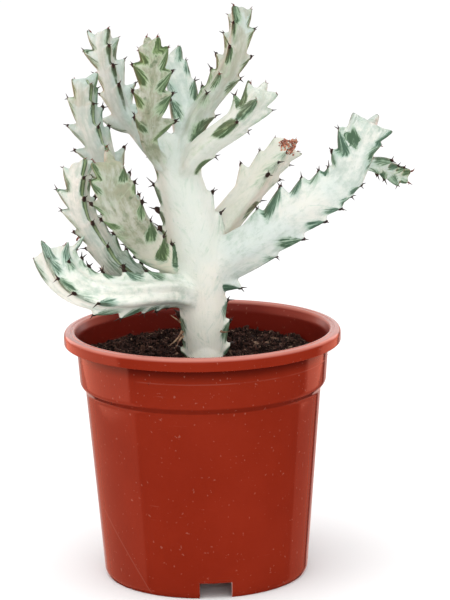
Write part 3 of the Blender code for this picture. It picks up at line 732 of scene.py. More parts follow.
foot_heights = (BURIED_PROFILE[0][1], BURIED_PROFILE[-1][1])
buried_foot = turned(BURIED_PROFILE, foot_heights, AROUND, STEM_X)
all_points, all_faces, start = [], [], 0
for points, faces in [stem_surface(stem) for stem in stems] + [buried_foot]:
    all_points.append(points)
    all_faces.extend([[corner + start for corner in face] for face in faces])
    start += len(points)
skin_finish, skin_tree, skin_shader = new_finish("pale marbled skin")
raw = bpy.data.meshes.new("plant")
raw.from_pydata(in_frame(np.vstack(all_points)).tolist(), [], all_faces)
plant = bpy.data.objects.new("plant_skin", raw)
bpy.context.scene.collection.objects.link(plant)
remesh = plant.modifiers.new("one skin", "REMESH")
remesh.mode = "VOXEL"
remesh.voxel_size = VOXEL * MM
remesh.adaptivity = 0.0
applied(plant)
print("skin of", len(plant.data.vertices), "points and", len(plant.data.polygons), "faces")

# %% Smoothing the forks
FORK_REACH = 8.0
FORK_ROUNDS = 110
FORK_STEP = 0.5
# Where a wing stands this proud, from the first height to the second, the smoothing dies away.
FORK_WINGS = (2.5, 5.0)
SKIN_ROUNDS = 2
BATCH = 20000


def nearest_on(stem, points):
    """For each point: its station on the stem, its distance from the centre line and its angle round it.

    The points come in batches, because a table of all distances at once would take too much memory.
    """
    station = np.empty(len(points))
    line = stem.points.astype(np.float32)
    for start in range(0, len(points), BATCH):
        part = points[start:start + BATCH].astype(np.float32)
        squared = (part**2).sum(1)[:, None] + (line**2).sum(1)[None] - 2.0 * part @ line.T
        best = squared.argmin(axis=1)
        near = np.clip(best, 1, len(line) - 2)
        centre, tangent = stem.points[near], stem.tangents[near]
        along = ((points[start:start + BATCH] - centre) * tangent).sum(1)
        station[start:start + BATCH] = stem.run[near] + along
    centre, tangent, right, front = stem.frame(station)
    offset = points - centre
    across, towards = (offset * right).sum(1), (offset * front).sum(1)
    distance = np.hypot(across, towards)
    return station, distance, np.arctan2(towards, across)


def survey(points):
    """For each stem, what every point is to it.

    That is how far off its surface the point lies, its root station, angle, wing height there and distance from
    the centre line, and how far outside the surface it lies, which is 0 inside.
    """
    found = []
    for stem in stems:
        station, distance, angle = nearest_on(stem, points)
        proud = np.maximum(distance - stem.core(station), 0.0)
        root = stem.root_of(station, proud)
        core, wings = stem.reach(root, angle)
        outside = np.maximum(distance - core - wings, 0.0)
        beyond = np.maximum(np.maximum(-station, station - stem.length - CLAW_OVER), 0.0)
        found.append((np.abs(distance - core - wings) + beyond, root, angle, wings, distance, outside + beyond))
    return found


def relaxed(points, edges, weight, rounds, step):
    """Moves points to the mean of their neighbours, as far as weight says, over and over."""
    first, second = edges.T
    count = np.maximum(np.bincount(edges.ravel(), minlength=len(points)), 1)
    for _ in range(rounds):
        mean = np.stack([np.bincount(first, points[second, k], len(points))
                         + np.bincount(second, points[first, k], len(points)) for k in range(3)], axis=1)
        points = points + (mean / count[:, None] - points) * (weight * step)[:, None]
    return points


skin_points = points_of(plant.data)
edges = np.empty(len(plant.data.edges) * 2, np.int32)
plant.data.edges.foreach_get("vertices", edges)
edges = edges.reshape(-1, 2)
surveyed = survey(skin_points)
distances = np.sort(np.stack([entry[5] for entry in surveyed]), axis=0)
fork = 1.0 - s_curve(distances[1], 0.0, FORK_REACH)
own = np.stack([entry[0] for entry in surveyed]).argmin(axis=0)
wing_height = np.take_along_axis(np.stack([entry[3] for entry in surveyed]), own[None], 0)[0]
fork = fork * (1.0 - s_curve(wing_height, *FORK_WINGS))
skin_points = relaxed(skin_points, edges, np.maximum(fork, 0.0), FORK_ROUNDS, FORK_STEP)
skin_points = relaxed(skin_points, edges, np.ones(len(skin_points)), SKIN_ROUNDS, FORK_STEP)
plant.data.vertices.foreach_set("co", in_frame(skin_points).astype(np.float32).ravel())
plant.data.update()
thin = plant.modifiers.new("fewer faces", "DECIMATE")
thin.ratio = min(SKIN_TRIANGLES / (2 * len(plant.data.polygons)), 1.0)
applied(plant)
plant.data.materials.append(skin_finish)
plant.data.shade_smooth()
plant.data.calc_loop_triangles()
print("skin now has", len(plant.data.loop_triangles), "triangles")

# %% [markdown]
# ## Markings on the skin
# The plant is called white because most of its skin has no green in it. What green there is starts at the
# teeth. From each tip a patch fans out down the tooth's flank, and it looks painted with a dry brush, because
# the green cells grew out from the tooth in rows. The crest itself is edged with dark olive. Painting that by
# hand would need an image. Here every point of the skin learns which stem and tooth it belongs to, and stores
# its place on that tooth's fan, as a turn and a radius from the tip. The brush mark is then a noise that is
# stretched along the radius.

# %% How each stem is marked
# For every stem: how green its teeth are, how olive that green is, and how grey-green, how beige and how
# marbled its faces are.
TINTS = {
    "trunk": (0.4, 0.3, 0.1, 0.35, 0.3),
    "upper left back": (0.85, 0.35, 0.6, 0.0, 0.9),
    "left": (0.95, 0.3, 0.85, 0.0, 1.0),
    "lower left": (0.95, 0.25, 0.35, 0.15, 0.95),
    "front left": (1.05, 0.85, 1.0, 0.15, 0.6),
    "front top": (1.2, 0.95, 1.0, 0.05, 0.3),
    "top behind": (0.6, 0.1, 0.45, 0.0, 1.0),
    "tall right": (0.9, 0.65, 0.75, 0.0, 0.6),
    "right upper": (0.5, 0.6, 0.12, 0.4, 0.4),
    "right middle": (0.25, 0.4, 0.3, 0.75, 0.5),
    "big right": (0.8, 0.1, 0.2, 0.1, 0.75),
    "far right": (0.9, 0.5, 0.8, 0.1, 0.5),
    "low left": (0.8, 0.15, 0.15, 0.35, 0.55),
}
# Ribs that face the viewer carry a thin green line along the crest: stem and rib give how strong it is.
CREST_LINES = {("left", 64): 1.0, ("lower left", 70): 1.0, ("upper left back", 68): 0.5, ("trunk", 182): 0.7}
# Where branches crowd the skin is brushed with dark green: how strongly, and where along the stem that ends.
BRUSHED_BASES = {"lower left": (0.65, 58.0, 84.0), "left": (0.8, 40.0, 66.0), "low left": (0.8, 16.0, 40.0)}
# The foot of two stems is beige: how strongly, and where along the stem that ends.
BEIGE_BASES = {"front left": (0.9, 34.0, 58.0), "trunk": (0.3, 10.0, 90.0)}
# The young ends of some branches are marbled more: how much, and how long that part is.
MARBLED_ENDS = {"big right": (0.5, 64.0), "right upper": (0.7, 42.0), "low left": (0.2, 50.0)}
# A few teeth carry patches that stand out: how green they are, how long and how wide, in millimetres. A fourth
# number moves the patch off the crest, onto one of the faces beside it: the one at wider angles, or, where the
# number is negative, the other.
BOLD_PATCHES = {
    ("big right", 178, 61): (0.5, 9.0, 4.0),
    ("big right", 178, 84): (1.4, 22.0, 6.5),
    ("big right", 178, 99): (1.1, 12.0, 4.5),
    ("big right", 178, 138): (0.9, 12.0, 4.0),
    ("big right", 178, 152): (1.5, 13.0, 4.4, -3.6),
    ("big right", 178, 163): (1.5, 14.0, 4.6, -8.6),
    ("big right", 4, 17): (1.1, 16.0, 4.5, 4.0),
    ("big right", 4, 74): (0.9, 14.0, 6.0, 3.0),
    ("big right", 4, 94): (1.2, 13.0, 6.0),
    ("big right", 4, 108): (1.1, 11.0, 5.0),
    ("big right", 4, 117): (1.0, 9.0, 4.0),
    ("right upper", 98, 66): (1.6, 21.0, 4.2, 1.8),
    ("right upper", 98, 86): (1.6, 18.0, 3.8, 1.6),
    ("right upper", 208, 88): (1.4, 18.0, 5.5, -3.5),
    ("right upper", 340, 28): (1.5, 18.0, 5.0, 4.0),
    ("right middle", 348, 56): (1.3, 17.0, 4.5, 3.5),
    ("top behind", 12, 38): (1.3, 20.0, 7.0),
    ("top behind", 12, 54): (1.2, 15.0, 5.5),
    ("tall right", 340, 46): (1.6, 28.0, 7.5, 7.0),
    ("tall right", 340, 76): (1.2, 13.0, 5.0, 2.0),
    ("tall right", 116, 72): (0.9, 13.0, 2.4),
    ("tall right", 116, 94): (1.1, 14.0, 2.2),
    ("tall right", 116, 111): (0.8, 10.0, 2.0),
    ("tall right", 212, 85): (1.2, 16.0, 4.0),
    ("trunk", 2, 7): (1.0, 9.0, 5.0),
    ("trunk", 2, 24): (1.2, 14.0, 6.5),
    ("trunk", 2, 38): (1.0, 13.0, 5.0),
    ("trunk", 182, 6): (1.1, 8.0, 5.0),
    ("trunk", 182, 14): (1.2, 9.0, 6.0),
    ("trunk", 182, 30): (1.2, 14.0, 6.5),
    ("front top", 4, 45): (1.3, 19.0, 5.0),
    ("front left", 12, 24): (1.7, 16.0, 8.0, 5.5),
    ("front left", 12, 43): (1.7, 16.0, 8.0, 5.5),
    ("front left", 12, 62): (1.4, 13.0, 6.0, 3.5),
    ("low left", 2, 48): (1.1, 14.0, 6.0),
    ("low left", 2, 66): (1.0, 14.0, 6.0),
    ("low left", 182, 48): (0.85, 15.0, 7.0),
    ("low left", 182, 66): (0.85, 16.0, 7.0),
    ("low left", 182, 82): (0.8, 14.0, 7.0),
}
for station in (78, 94, 108, 124, 140):
    BOLD_PATCHES["trunk", 182, station] = (1.3, 12.0, 2.8, -1.6)
for station in (37, 68, 82, 98):
    BOLD_PATCHES["upper left back", 68, station] = (0.9, 9.0, 1.5)
BROAD_PATCHES = {"front top": 1.5, "left": 1.15, "lower left": 1.15, "front left": 1.2}

# %% Drawing the teeth's patches
# The first three are a mean, a spread, and the least and the most, and the dark edge has only the last two.
# Lengths and widths are in millimetres.
STRENGTH_DRAW = (1.0, 0.25, 0.3, 1.4)
LENGTH_DRAW = (12.5, 2.5, 7.0, 17.0)
WIDTH_DRAW = (4.4, 0.9, 2.8, 6.5)
EDGE_DRAW = (0.25, 1.0)
HUE_SPREAD = 0.15
LINED_SHARE = 0.28
FAN_START = 1.5
FAR_AWAY = 1e3
SEED = 7
dice = np.random.default_rng(SEED)


def key_of(stem, rib):
    """What the lists call a rib: its stem's name and its angle in whole degrees."""
    return stem.name, round(math.degrees(rib["angle"]))


def drawn(plan, count):
    """Random numbers round a mean, kept between limits."""
    mean, spread, least, most = plan
    return np.clip(dice.normal(mean, spread, count), least, most)


def draw_teeth(stem, rib, lined):
    """For every tooth of a rib: its patch's strength, length, width and place aside, its edge and its hue.

    A bold patch takes the place of the drawn one. The last entry, for the skin past all teeth, has no patch.
    """
    count = len(rib["roots"]) + 1
    strength = TINTS[stem.name][0] * drawn(STRENGTH_DRAW, count)
    length = drawn(LENGTH_DRAW, count)
    width = drawn(WIDTH_DRAW, count) * (1.0 - lined * (1.0 - LINED_SHARE))
    width = width * BROAD_PATCHES.get(stem.name, 1.0)
    darkness = dice.uniform(*EDGE_DRAW, count)
    shift = dice.normal(0.0, HUE_SPREAD, count)
    aside = np.zeros(count)
    for tooth, station in enumerate(rib["tips"][:, 0]):
        bold = (*key_of(stem, rib), round(station))
        if bold in BOLD_PATCHES:
            strength[tooth], length[tooth], width[tooth], *rest = BOLD_PATCHES[bold]
            aside[tooth] = sum(rest)
    strength[-1] = 0.0
    return strength, length, width, aside, darkness, shift


def tooth_fan(stem, rib, root, angle, wings):
    """The number of the tooth ahead, the turn and radius on the fan round its tip, the gap and the depth.

    The gap from the crest is measured down the flank: the hypotenuse of the way aside and the drop in height.
    The depth is how far the point lies below the tip along the stem.
    """
    aside = stem.aside(rib, root, angle)
    crest_height = stem.girth(root) - stem.core(root) + stem.crest(rib, root)[0]
    gap = np.hypot(aside, np.maximum(crest_height - wings, 0.0))
    shifted = root + DROP_DRIFT * aside
    tooth = np.searchsorted(rib["roots"], shifted)
    below = np.append(rib["roots"], FAR_AWAY)[tooth] - shifted + FAN_START
    return tooth, np.arctan2(gap, below), np.hypot(gap, below), gap, below


print("bold patches:", len(BOLD_PATCHES), "on", sum(len(stem.ribs) for stem in stems), "ribs")

# %% What each point of the skin knows
# Pairs are where an S curve starts and ends, in millimetres but for the lobe and the slope, which are shares.
PATCH_MIDDLE = 0.42
LOBE_EDGE = (-0.5, 0.55)
RIM_GAP = (0.35, 1.3)
RIM_SLOPE = (0.2, 0.9)
LINE_GAP = (0.15, 1.3)
LINE_STARTS = (34.0, 56.0)
BRUSH_STARTS = (14.0, 30.0)
CLEAR_GAP = (3.0, 9.0)
CLEAR_SHARE = 0.4
FAN_STREAKS = 8.5
FAN_ALONG = 0.1
TINT_BLEND = 2.5


def mark_skin(points):
    """Every mark's strength at each point, its tint, and its places along the grain and on the tooth's fan.

    A patch is a lobe that hangs from the tip along the crest, and the strongest at a point counts. The fan and
    the hue are those of the nearest crest. Tints fade from stem to stem across a fork.
    """
    found = survey(points)
    owner = np.stack([entry[0] for entry in found]).argmin(axis=0)
    single = {name: np.zeros(len(points)) for name in ("green", "edge", "line", "marble")}
    triple = {name: np.zeros((len(points), 3)) for name in ("tint", "grain", "fan")}
    for number, (stem, entry) in enumerate(zip(stems, found)):
        mine = owner == number
        root, angle, wings, distance = (entry[k][mine] for k in (1, 2, 3, 4))
        olive = TINTS[stem.name][1]
        patch, rim, line = np.zeros((3, mine.sum()))
        hue = np.full(mine.sum(), olive)
        nearest = np.full(mine.sum(), FAR_AWAY)
        fan = np.zeros((mine.sum(), 3))
        for rib_number, rib in enumerate(stem.ribs):
            lined = CREST_LINES.get(key_of(stem, rib), 0.0)
            strength, length, width, aside, darkness, shift = draw_teeth(stem, rib, lined)
            tooth, turn, radius, gap, below = tooth_fan(stem, rib, root, angle, wings)
            up = stem.crest(rib, root)[2]
            middle = PATCH_MIDDLE * length[tooth]
            side = np.sign(np.sin(angle - rib["angle"]))
            off = gap - side * aside[tooth]
            lobe = 1.0 - np.hypot((below - middle) / (length[tooth] - middle), off / width[tooth])
            here = strength[tooth] * s_curve(lobe, *LOBE_EDGE) * s_curve(below, 1.0, FAN_START + 0.4 * gap)
            closer = gap < nearest
            spot = np.column_stack([turn * FAN_STREAKS, radius * FAN_ALONG,
                                    5.0 * tooth + 2.5 * side + 40.0 * rib_number + 7.0 * number])
            fan = np.where(closer[:, None], spot, fan)
            hue = np.where(closer, np.clip(olive + shift[tooth], 0.0, 1.0), hue)
            patch = np.maximum(patch, here)
            rim_here = darkness[tooth] * (1.0 - s_curve(gap, *RIM_GAP)) * s_curve(up, *RIM_SLOPE)
            rim = np.maximum(rim, rim_here)
            fading = s_curve(root, *LINE_STARTS) if stem.name != "trunk" else 1.0
            line = np.maximum(line, lined * fading * (1.0 - s_curve(gap, *LINE_GAP)))
            nearest = np.minimum(nearest, gap)
        brushed, warm = (amount * (1.0 - s_curve(root, fade, gone)) for amount, fade, gone in
                         (plan.get(stem.name, (0.0, 0.0, 1.0)) for plan in (BRUSHED_BASES, BEIGE_BASES)))
        triple["tint"][mine, 1:] = np.column_stack([-0.7 * warm, warm])
        more, long = MARBLED_ENDS.get(stem.name, (0.0, 1.0))
        brushed = brushed * s_curve(root, *BRUSH_STARTS)
        brushed = brushed + more * s_curve(root, stem.end - long, stem.end - 0.4 * long)
        single["green"][mine] = patch
        single["edge"][mine] = rim
        single["line"][mine] = line
        single["marble"][mine] = brushed - CLEAR_SHARE * s_curve(nearest, *CLEAR_GAP)
        triple["tint"][mine, 0] = hue - olive
        triple["grain"][mine] = np.column_stack([distance * np.cos(angle), distance * np.sin(angle),
                                                 root + 200.0 * number])
        triple["fan"][mine] = fan
    share = np.exp(-np.stack([entry[0] for entry in found]) / TINT_BLEND)
    mixed = (share / share.sum(axis=0)).T @ np.array([TINTS[stem.name][1:] for stem in stems])
    triple["tint"] = np.clip(triple["tint"] + mixed[:, :3], 0.0, 1.0)
    single["marble"] = np.maximum(single["marble"] + mixed[:, 3], 0.0)
    return {**single, **triple}


marks = mark_skin(points_of(plant.data))
for name, values in marks.items():
    store(plant.data, name, values)
print("share of skin points with green patches:", round(float((marks["green"] > 0.5).mean()), 2))

# %% [markdown]
# ## The skin's finish
# The skin is waxy and thick. Its pale colour wanders between cream and mint, and it shines softly. The shader
# mixes the colours in the order in which they lie on the plant: the pale skin, then a soft marbling that runs
# along the stem, then the grey-green of some branches, then the brushed patches, and the dark edges last. A
# patch shows where the stored value and its streaks add up to enough, so it frays at its end like a brush mark.

# %% What the skin's finish reads
tree, shader = skin_tree, skin_shader
place = object_place(tree)
along = attribute(tree, "grain", "Vector")
olive, grey, beige = axes_of(tree, attribute(tree, "tint", "Vector"))
marbled = attribute(tree, "marble")
cloud = noise(tree, place, 60.0, 4.0, 0.6)
cloud_wide = noise(tree, place, 24.0, 3.0, 0.5, shift=(3.0, 1.0, 2.0))
strokes = noise(tree, along, 1.0, 5.0, 0.7, stretch=(0.26, 0.26, 0.06))
fine_streaks = noise(tree, along, 1.0, 3.0, 0.65, stretch=(0.8, 0.8, 0.12), shift=(9.0, 4.0, 0.0))
fan_streaks = noise(tree, attribute(tree, "fan", "Vector"), 1.0, 3.0, 0.6)
blotches = noise(tree, place, 170.0, 4.0, 0.7, shift=(1.0, 7.0, 3.0))
print("noises in the skin's finish:", sum(node.type == "TEX_NOISE" for node in tree.nodes))

# %% Pale faces, marbled
pale = blend_colours(tree, ramp(tree, cloud_wide, 0.36, 0.64), (0.88, 0.87, 0.79), (0.75, 0.83, 0.785))
pale = blend_colours(tree, ramp(tree, cloud, 0.48, 0.72, 0.0, 0.55), pale, (0.90, 0.92, 0.88))
brushwork = calc(tree, "MULTIPLY_ADD", strokes, 0.35, calc(tree, "MULTIPLY_ADD", fine_streaks, 0.12,
                                                         calc(tree, "MULTIPLY", blotches, 0.53)))
marble = ramp(tree, calc(tree, "MULTIPLY_ADD", marbled, 0.15, brushwork), 0.53, 0.76, 0.0, 0.8)
mint = blend_colours(tree, ramp(tree, blotches, 0.35, 0.65), (0.30, 0.43, 0.36), (0.46, 0.57, 0.50))
faces = blend_colours(tree, marble, pale, mint)
print("nodes for the pale faces:", len(tree.nodes))

# %% Grey-green, beige and brushed faces
BRUSH_GREEN = (0.10, 0.18, 0.11)
SHADED_HEIGHT = (0.185, 0.25)
SHADED_TINT = (0.86, 0.86, 0.87)

cover = calc(tree, "MULTIPLY", grey, ramp(tree, calc(tree, "ADD", cloud, strokes), 0.75, 1.2, 0.55, 1.0))
green_grey = blend_colours(tree, ramp(tree, olive, 0.35, 0.75), (0.42, 0.52, 0.45), (0.30, 0.315, 0.20))
faces = blend_colours(tree, cover, faces, green_grey)
mottled = ramp(tree, calc(tree, "MULTIPLY", grey, olive), 0.54, 0.74)
dapple = ramp(tree, calc(tree, "ADD", strokes, blotches), 0.98, 1.2, 0.0, 0.5)
faces = blend_colours(tree, calc(tree, "MULTIPLY", mottled, dapple), faces, (0.16, 0.23, 0.13))
spots = ramp(tree, noise(tree, place, 130.0, 2.0, 0.5), 0.62, 0.7, 0.0, 0.8)
faces = blend_colours(tree, calc(tree, "MULTIPLY", mottled, spots), faces, (0.09, 0.15, 0.06))
warmth = calc(tree, "MULTIPLY", beige, ramp(tree, cloud_wide, 0.3, 0.7, 0.3, 0.85))
faces = blend_colours(tree, warmth, faces, (0.78, 0.73, 0.57))
brush = calc(tree, "MULTIPLY", ramp(tree, fine_streaks, 0.48, 0.6), ramp(tree, marbled, 0.95, 1.5, 0.0, 0.75))
faces = blend_colours(tree, brush, faces, BRUSH_GREEN)
# Painted shade: faces high on the plant are painted darker.
high_up = ramp(tree, axes_of(tree, place)[2], *SHADED_HEIGHT)
faces = blend_colours(tree, high_up, faces, SHADED_TINT, "MULTIPLY")
print("nodes with the tinted faces:", len(tree.nodes))

# %% Green patches
fray = calc(tree, "MULTIPLY_ADD", fan_streaks, 1.5, calc(tree, "MULTIPLY_ADD", blotches, 0.6, -1.05))
patch_value = calc(tree, "ADD", attribute(tree, "green"), fray)
halo = ramp(tree, patch_value, 0.0, 0.5, 0.0, 0.7)
faces = blend_colours(tree, halo, faces, blend_colours(tree, olive, (0.42, 0.55, 0.47), (0.44, 0.53, 0.35)))
patch = ramp(tree, patch_value, 0.3, 0.86, 0.0, 0.97)
depth_of_green = calc(tree, "MULTIPLY_ADD", patch_value, 0.3, -0.25)
depth_of_green = calc(tree, "MULTIPLY_ADD", fan_streaks, 2.1, depth_of_green)
depth_of_green = ramp(tree, calc(tree, "MULTIPLY_ADD", blotches, 0.5, depth_of_green), 1.0, 1.5)
blue_green = blend_colours(tree, depth_of_green, (0.31, 0.45, 0.35), (0.05, 0.12, 0.075))
olive_green = blend_colours(tree, depth_of_green, (0.23, 0.33, 0.14), (0.055, 0.10, 0.026))
green_colour = blend_colours(tree, olive, blue_green, olive_green)
skin_colour = blend_colours(tree, patch, faces, green_colour)
print("nodes with the patches:", len(tree.nodes))

# %% Lines, dark edges and shine
line_middle = ramp(tree, calc(tree, "MULTIPLY_ADD", fine_streaks, 0.5, attribute(tree, "line")), 0.95, 1.2)
line_colour = blend_colours(tree, line_middle, (0.065, 0.105, 0.04), (0.27, 0.35, 0.17))
line_share = ramp(tree, attribute(tree, "line"), 0.15, 0.45, 0.0, 0.9)
line_share = calc(tree, "MULTIPLY", line_share, ramp(tree, strokes, 0.34, 0.5, 0.45, 1.0))
skin_colour = blend_colours(tree, line_share, skin_colour, line_colour)
rim_value = calc(tree, "MULTIPLY", attribute(tree, "edge"), ramp(tree, blotches, 0.35, 0.55, 0.4, 0.95))
skin_colour = blend_colours(tree, rim_value, skin_colour, (0.05, 0.055, 0.03))
feed(tree, shader.inputs["Base Color"], skin_colour)
feed(tree, shader.inputs["Roughness"], ramp(tree, cloud, 0.3, 0.7, 0.4, 0.55))
shader.inputs["Subsurface Weight"].default_value = 0.15
shader.inputs["Subsurface Radius"].default_value = (1.0, 0.9, 0.6)
shader.inputs["Subsurface Scale"].default_value = 0.0015
relief = calc(tree, "MULTIPLY_ADD", patch, -0.3, calc(tree, "ADD", cloud, blotches))
bumped(tree, shader, calc(tree, "ADD", relief, fine_streaks), 0.00035, 0.7)
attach(plant, "root")
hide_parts("euphorbia")
print("nodes in the whole finish:", len(tree.nodes))

# %% [markdown]
# ## Thorns
# Each tooth ends in a small dark horny shield with a pair of thorns, spread like a V. There are about two
# hundred teeth, so a thorn may have only a few dozen faces. One thorn is a cone carried along a bent line, and
# numpy places all of them at once: the tooth gives the root and the direction, and a seeded random draw turns
# and sizes each pair.

# %% Thorns and shields
THORN_LENGTH = 4.8
THORN_ROOT_RADIUS = 0.62
# The oldest ribs carry larger thorns: stem and rib give how much larger.
HEAVY_RIBS = {("trunk", 182): 1.55, ("trunk", 2): 1.15, ("front left", 12): 1.2, ("low left", 2): 1.3}
# Teeth that grew last are still red: stem, rib and station.
RED_TEETH = {("big right", 4, 142), ("big right", 4, 154), ("tall right", 116, 72), ("left", 64, 103)}
YOUNG_END = 22.0
THORN_SINK = 1.0
THORN_SPREAD = 0.8
THORN_FORWARD = 0.45
THORN_BEND = 0.5
THORN_RINGS = 6
THORN_SIDES = 6
THORN_TAPER = 0.75
# So many teeth have a third, smaller thorn, of this share of the length and of the radius.
THIRD_THORNS = 0.4
THIRD_SIZE = (0.55, 0.7)


def cones(roots, ways, bends, lengths, radii, tones):
    """Bent cones: centre line root + way x length x t + bend x t squared, radius falling to nothing at t = 1.

    Returns points, faces and a tone for every point.
    """
    t = np.linspace(0.0, 1.0, THORN_RINGS)[:-1]
    turn = turns(THORN_SIDES)
    first = unit(np.cross(ways, (0.31, 0.52, 0.79)))
    second = np.cross(ways, first)
    line = (roots[:, None] + ways[:, None] * (lengths[:, None] * t)[..., None]
            + bends[:, None] * (lengths[:, None] * t**2)[..., None])
    ring = np.cos(turn)[None, :, None] * first[:, None] + np.sin(turn)[None, :, None] * second[:, None]
    radius = radii[:, None] * (1.0 - t[None])**THORN_TAPER
    points = line[:, :, None] + ring[:, None] * radius[..., None, None]
    tips = roots + (ways + bends) * lengths[:, None]
    each = (THORN_RINGS - 1) * THORN_SIDES
    points = np.concatenate([points.reshape(len(roots), each, 3), roots[:, None], tips[:, None]], axis=1)
    sides = grid_faces(THORN_RINGS - 1, THORN_SIDES)
    ends = np.vstack([pole_faces(THORN_SIDES, 0, each, True),
                      pole_faces(THORN_SIDES, each - THORN_SIDES, each + 1, False)])
    faces = copied_faces(sides, ends, len(roots), each + 2)
    return points.reshape(-1, 3), faces, np.repeat(tones, each + 2)


def tooth_frames():
    """For every tooth: tip, outward, along and sideways directions, how young it is, and its thorns' size."""
    rows = []
    for stem in stems:
        for rib in stem.ribs:
            station, reach = rib["tips"].T
            centre, tangent, right, front = stem.frame(station)
            outward = math.cos(rib["angle"]) * right + math.sin(rib["angle"]) * front
            red = np.array([(*key_of(stem, rib), round(at)) in RED_TEETH for at in station])
            young = np.maximum(s_curve(station, stem.length - YOUNG_END, stem.length), red)
            heavy = np.full(len(station), HEAVY_RIBS.get(key_of(stem, rib), 1.0))
            rows.append(np.hstack([centre + outward * reach[:, None], outward, tangent,
                                   np.cross(tangent, outward), young[:, None], heavy[:, None]]))
    rows = np.vstack(rows)
    return rows[:, :3], rows[:, 3:6], rows[:, 6:9], rows[:, 9:12], rows[:, 12], rows[:, 13]


tips, outward, along_stem, sideways, young, heavy = tooth_frames()
count = len(tips)
roll = dice.uniform(-1.0, 1.0, count)
fork_way = unit(sideways * np.cos(roll)[:, None] + along_stem * np.sin(roll)[:, None])
middle_way = unit(outward + along_stem * THORN_FORWARD)
seats = tips - middle_way * THORN_SINK
parts = []
for side in (-1.0, 1.0):
    spread = side * THORN_SPREAD * dice.uniform(0.6, 1.25, count)
    way = unit(middle_way + fork_way * spread[:, None])
    bend = (fork_way * side * 0.25 + along_stem * 0.2) * THORN_BEND * dice.uniform(0.2, 1.0, count)[:, None]
    length = THORN_LENGTH * dice.uniform(0.65, 1.15, count) * (1.0 - 0.45 * young) * heavy
    radius = THORN_ROOT_RADIUS * heavy**0.5 * (1.0 - 0.3 * young)
    parts.append((seats, way, bend, length, radius, young))
small = dice.uniform(0.0, 1.0, count) < THIRD_THORNS
way = unit(middle_way + fork_way * dice.uniform(-0.3, 0.3, count)[:, None] - along_stem * 0.5)
third = (seats, way, 0 * way, np.full(count, THIRD_SIZE[0] * THORN_LENGTH),
         np.full(count, THIRD_SIZE[1] * THORN_ROOT_RADIUS), young)
parts.append(tuple(value[small] for value in third))
points, faces, tone = cones(*(np.concatenate(column) for column in zip(*parts)))
print(count, "teeth carry", sum(len(part[0]) for part in parts), "thorns,", len(faces), "faces")

# %% Thorn finish
thorn_finish, tree, shader = new_finish("dark horn of thorns")
place = object_place(tree)
flecks = noise(tree, place, 900.0, 3.0)
youth = ramp(tree, calc(tree, "MULTIPLY_ADD", flecks, 0.5, attribute(tree, "young")), 0.75, 1.3)
dark_horn = blend_colours(tree, flecks, (0.010, 0.006, 0.005), (0.045, 0.018, 0.012))
feed(tree, shader.inputs["Base Color"], blend_colours(tree, youth, dark_horn, (0.16, 0.04, 0.024)))
feed(tree, shader.inputs["Roughness"], ramp(tree, flecks, 0.3, 0.7, 0.35, 0.6))
bumped(tree, shader, flecks, 0.0001, 0.6)
thorns = make_piece("thorns", points, faces, thorn_finish)
store(thorns.data, "young", tone)
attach(thorns, "root")
print("share of young, red thorns:", round(float((tone > 0.5).mean()), 2))

# %% Shields
SHIELD_ROWS = 6
SHIELD_SIDES = 8
SHIELD_SIZE = (1.35, 1.45, 2.4)
SHIELD_BELOW_TIP = 1.3
SHIELD_SINK = 0.25


def balls(centres, first_ways, second_ways, third_ways, rows, sides):
    """Ellipsoids: centre + ways x (sin v cos u, sin v sin u, cos v). The ways carry the half sizes."""
    v = np.linspace(0.0, math.pi, rows + 1)[1:-1]
    u = turns(sides)
    a = np.append(np.sin(v)[:, None] * np.cos(u), (0, 0))
    b = np.append(np.sin(v)[:, None] * np.sin(u), (0, 0))
    c = np.append(np.cos(v)[:, None] + 0 * u, (1, -1))
    points = (centres[:, None] + first_ways[:, None] * a[None, :, None]
              + second_ways[:, None] * b[None, :, None] + third_ways[:, None] * c[None, :, None])
    each = len(a)
    body = grid_faces(rows - 1, sides)[:, ::-1]
    ends = np.vstack([pole_faces(sides, 0, each - 2, False),
                      pole_faces(sides, each - 2 - sides, each - 1, True)])
    faces = copied_faces(body, ends, len(centres), each)
    return points.reshape(-1, 3), faces, each


slope_way = unit(along_stem * 0.8 + outward * 0.6)
normal_way = unit(outward - slope_way * (outward * slope_way).sum(1)[:, None])
size = (dice.uniform(0.75, 1.15, count) * heavy**0.7 * (1.0 - 0.5 * young))[:, None]
centres = tips - slope_way * SHIELD_BELOW_TIP - outward * SHIELD_SINK
points, faces, each = balls(centres, sideways * SHIELD_SIZE[0] * size, normal_way * SHIELD_SIZE[1] * size,
                            slope_way * SHIELD_SIZE[2] * size, SHIELD_ROWS, SHIELD_SIDES)
shields = make_piece("thorn_shields", points, faces, thorn_finish)
store(shields.data, "young", np.repeat(young, each))
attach(shields, "root")
print("shields:", len(faces), "faces")

# %% [markdown]
# ## A scar and some dry scales
# One branch was cut back once. Its end healed to a crust of orange cork, which is a heap of small grains. At
# the trunk's foot hang a few dried scales, left from the first leaves. Both are small, but the eye finds them
# at once on a plant this pale.

# %% Cork grains on the cut branch
SCAR_STEM = "right middle"
SCAR_GRAINS = 230
# The mean and the spread of the grains' places, and the station where the crust starts.
SCAR_STATION = (96.0, 2.0)
SCAR_ANGLE_DEG = (86.0, 26.0)
SCAR_START = 84.0
GRAIN_ROWS = 4
GRAIN_SIDES = 5

cork_finish, tree, shader = new_finish("orange cork")
grain_noise = noise(tree, object_place(tree), 700.0, 3.0)
cork_tone = ramp(tree, attribute(tree, "tone"), 0.2, 0.9)
cork = blend_colours(tree, cork_tone, (0.22, 0.05, 0.025), (0.62, 0.27, 0.17))
cork = blend_colours(tree, ramp(tree, grain_noise, 0.5, 0.7), cork, (0.10, 0.025, 0.015))
feed(tree, shader.inputs["Base Color"], cork)
shader.inputs["Roughness"].default_value = 0.75
bumped(tree, shader, grain_noise, 0.0002, 0.7)

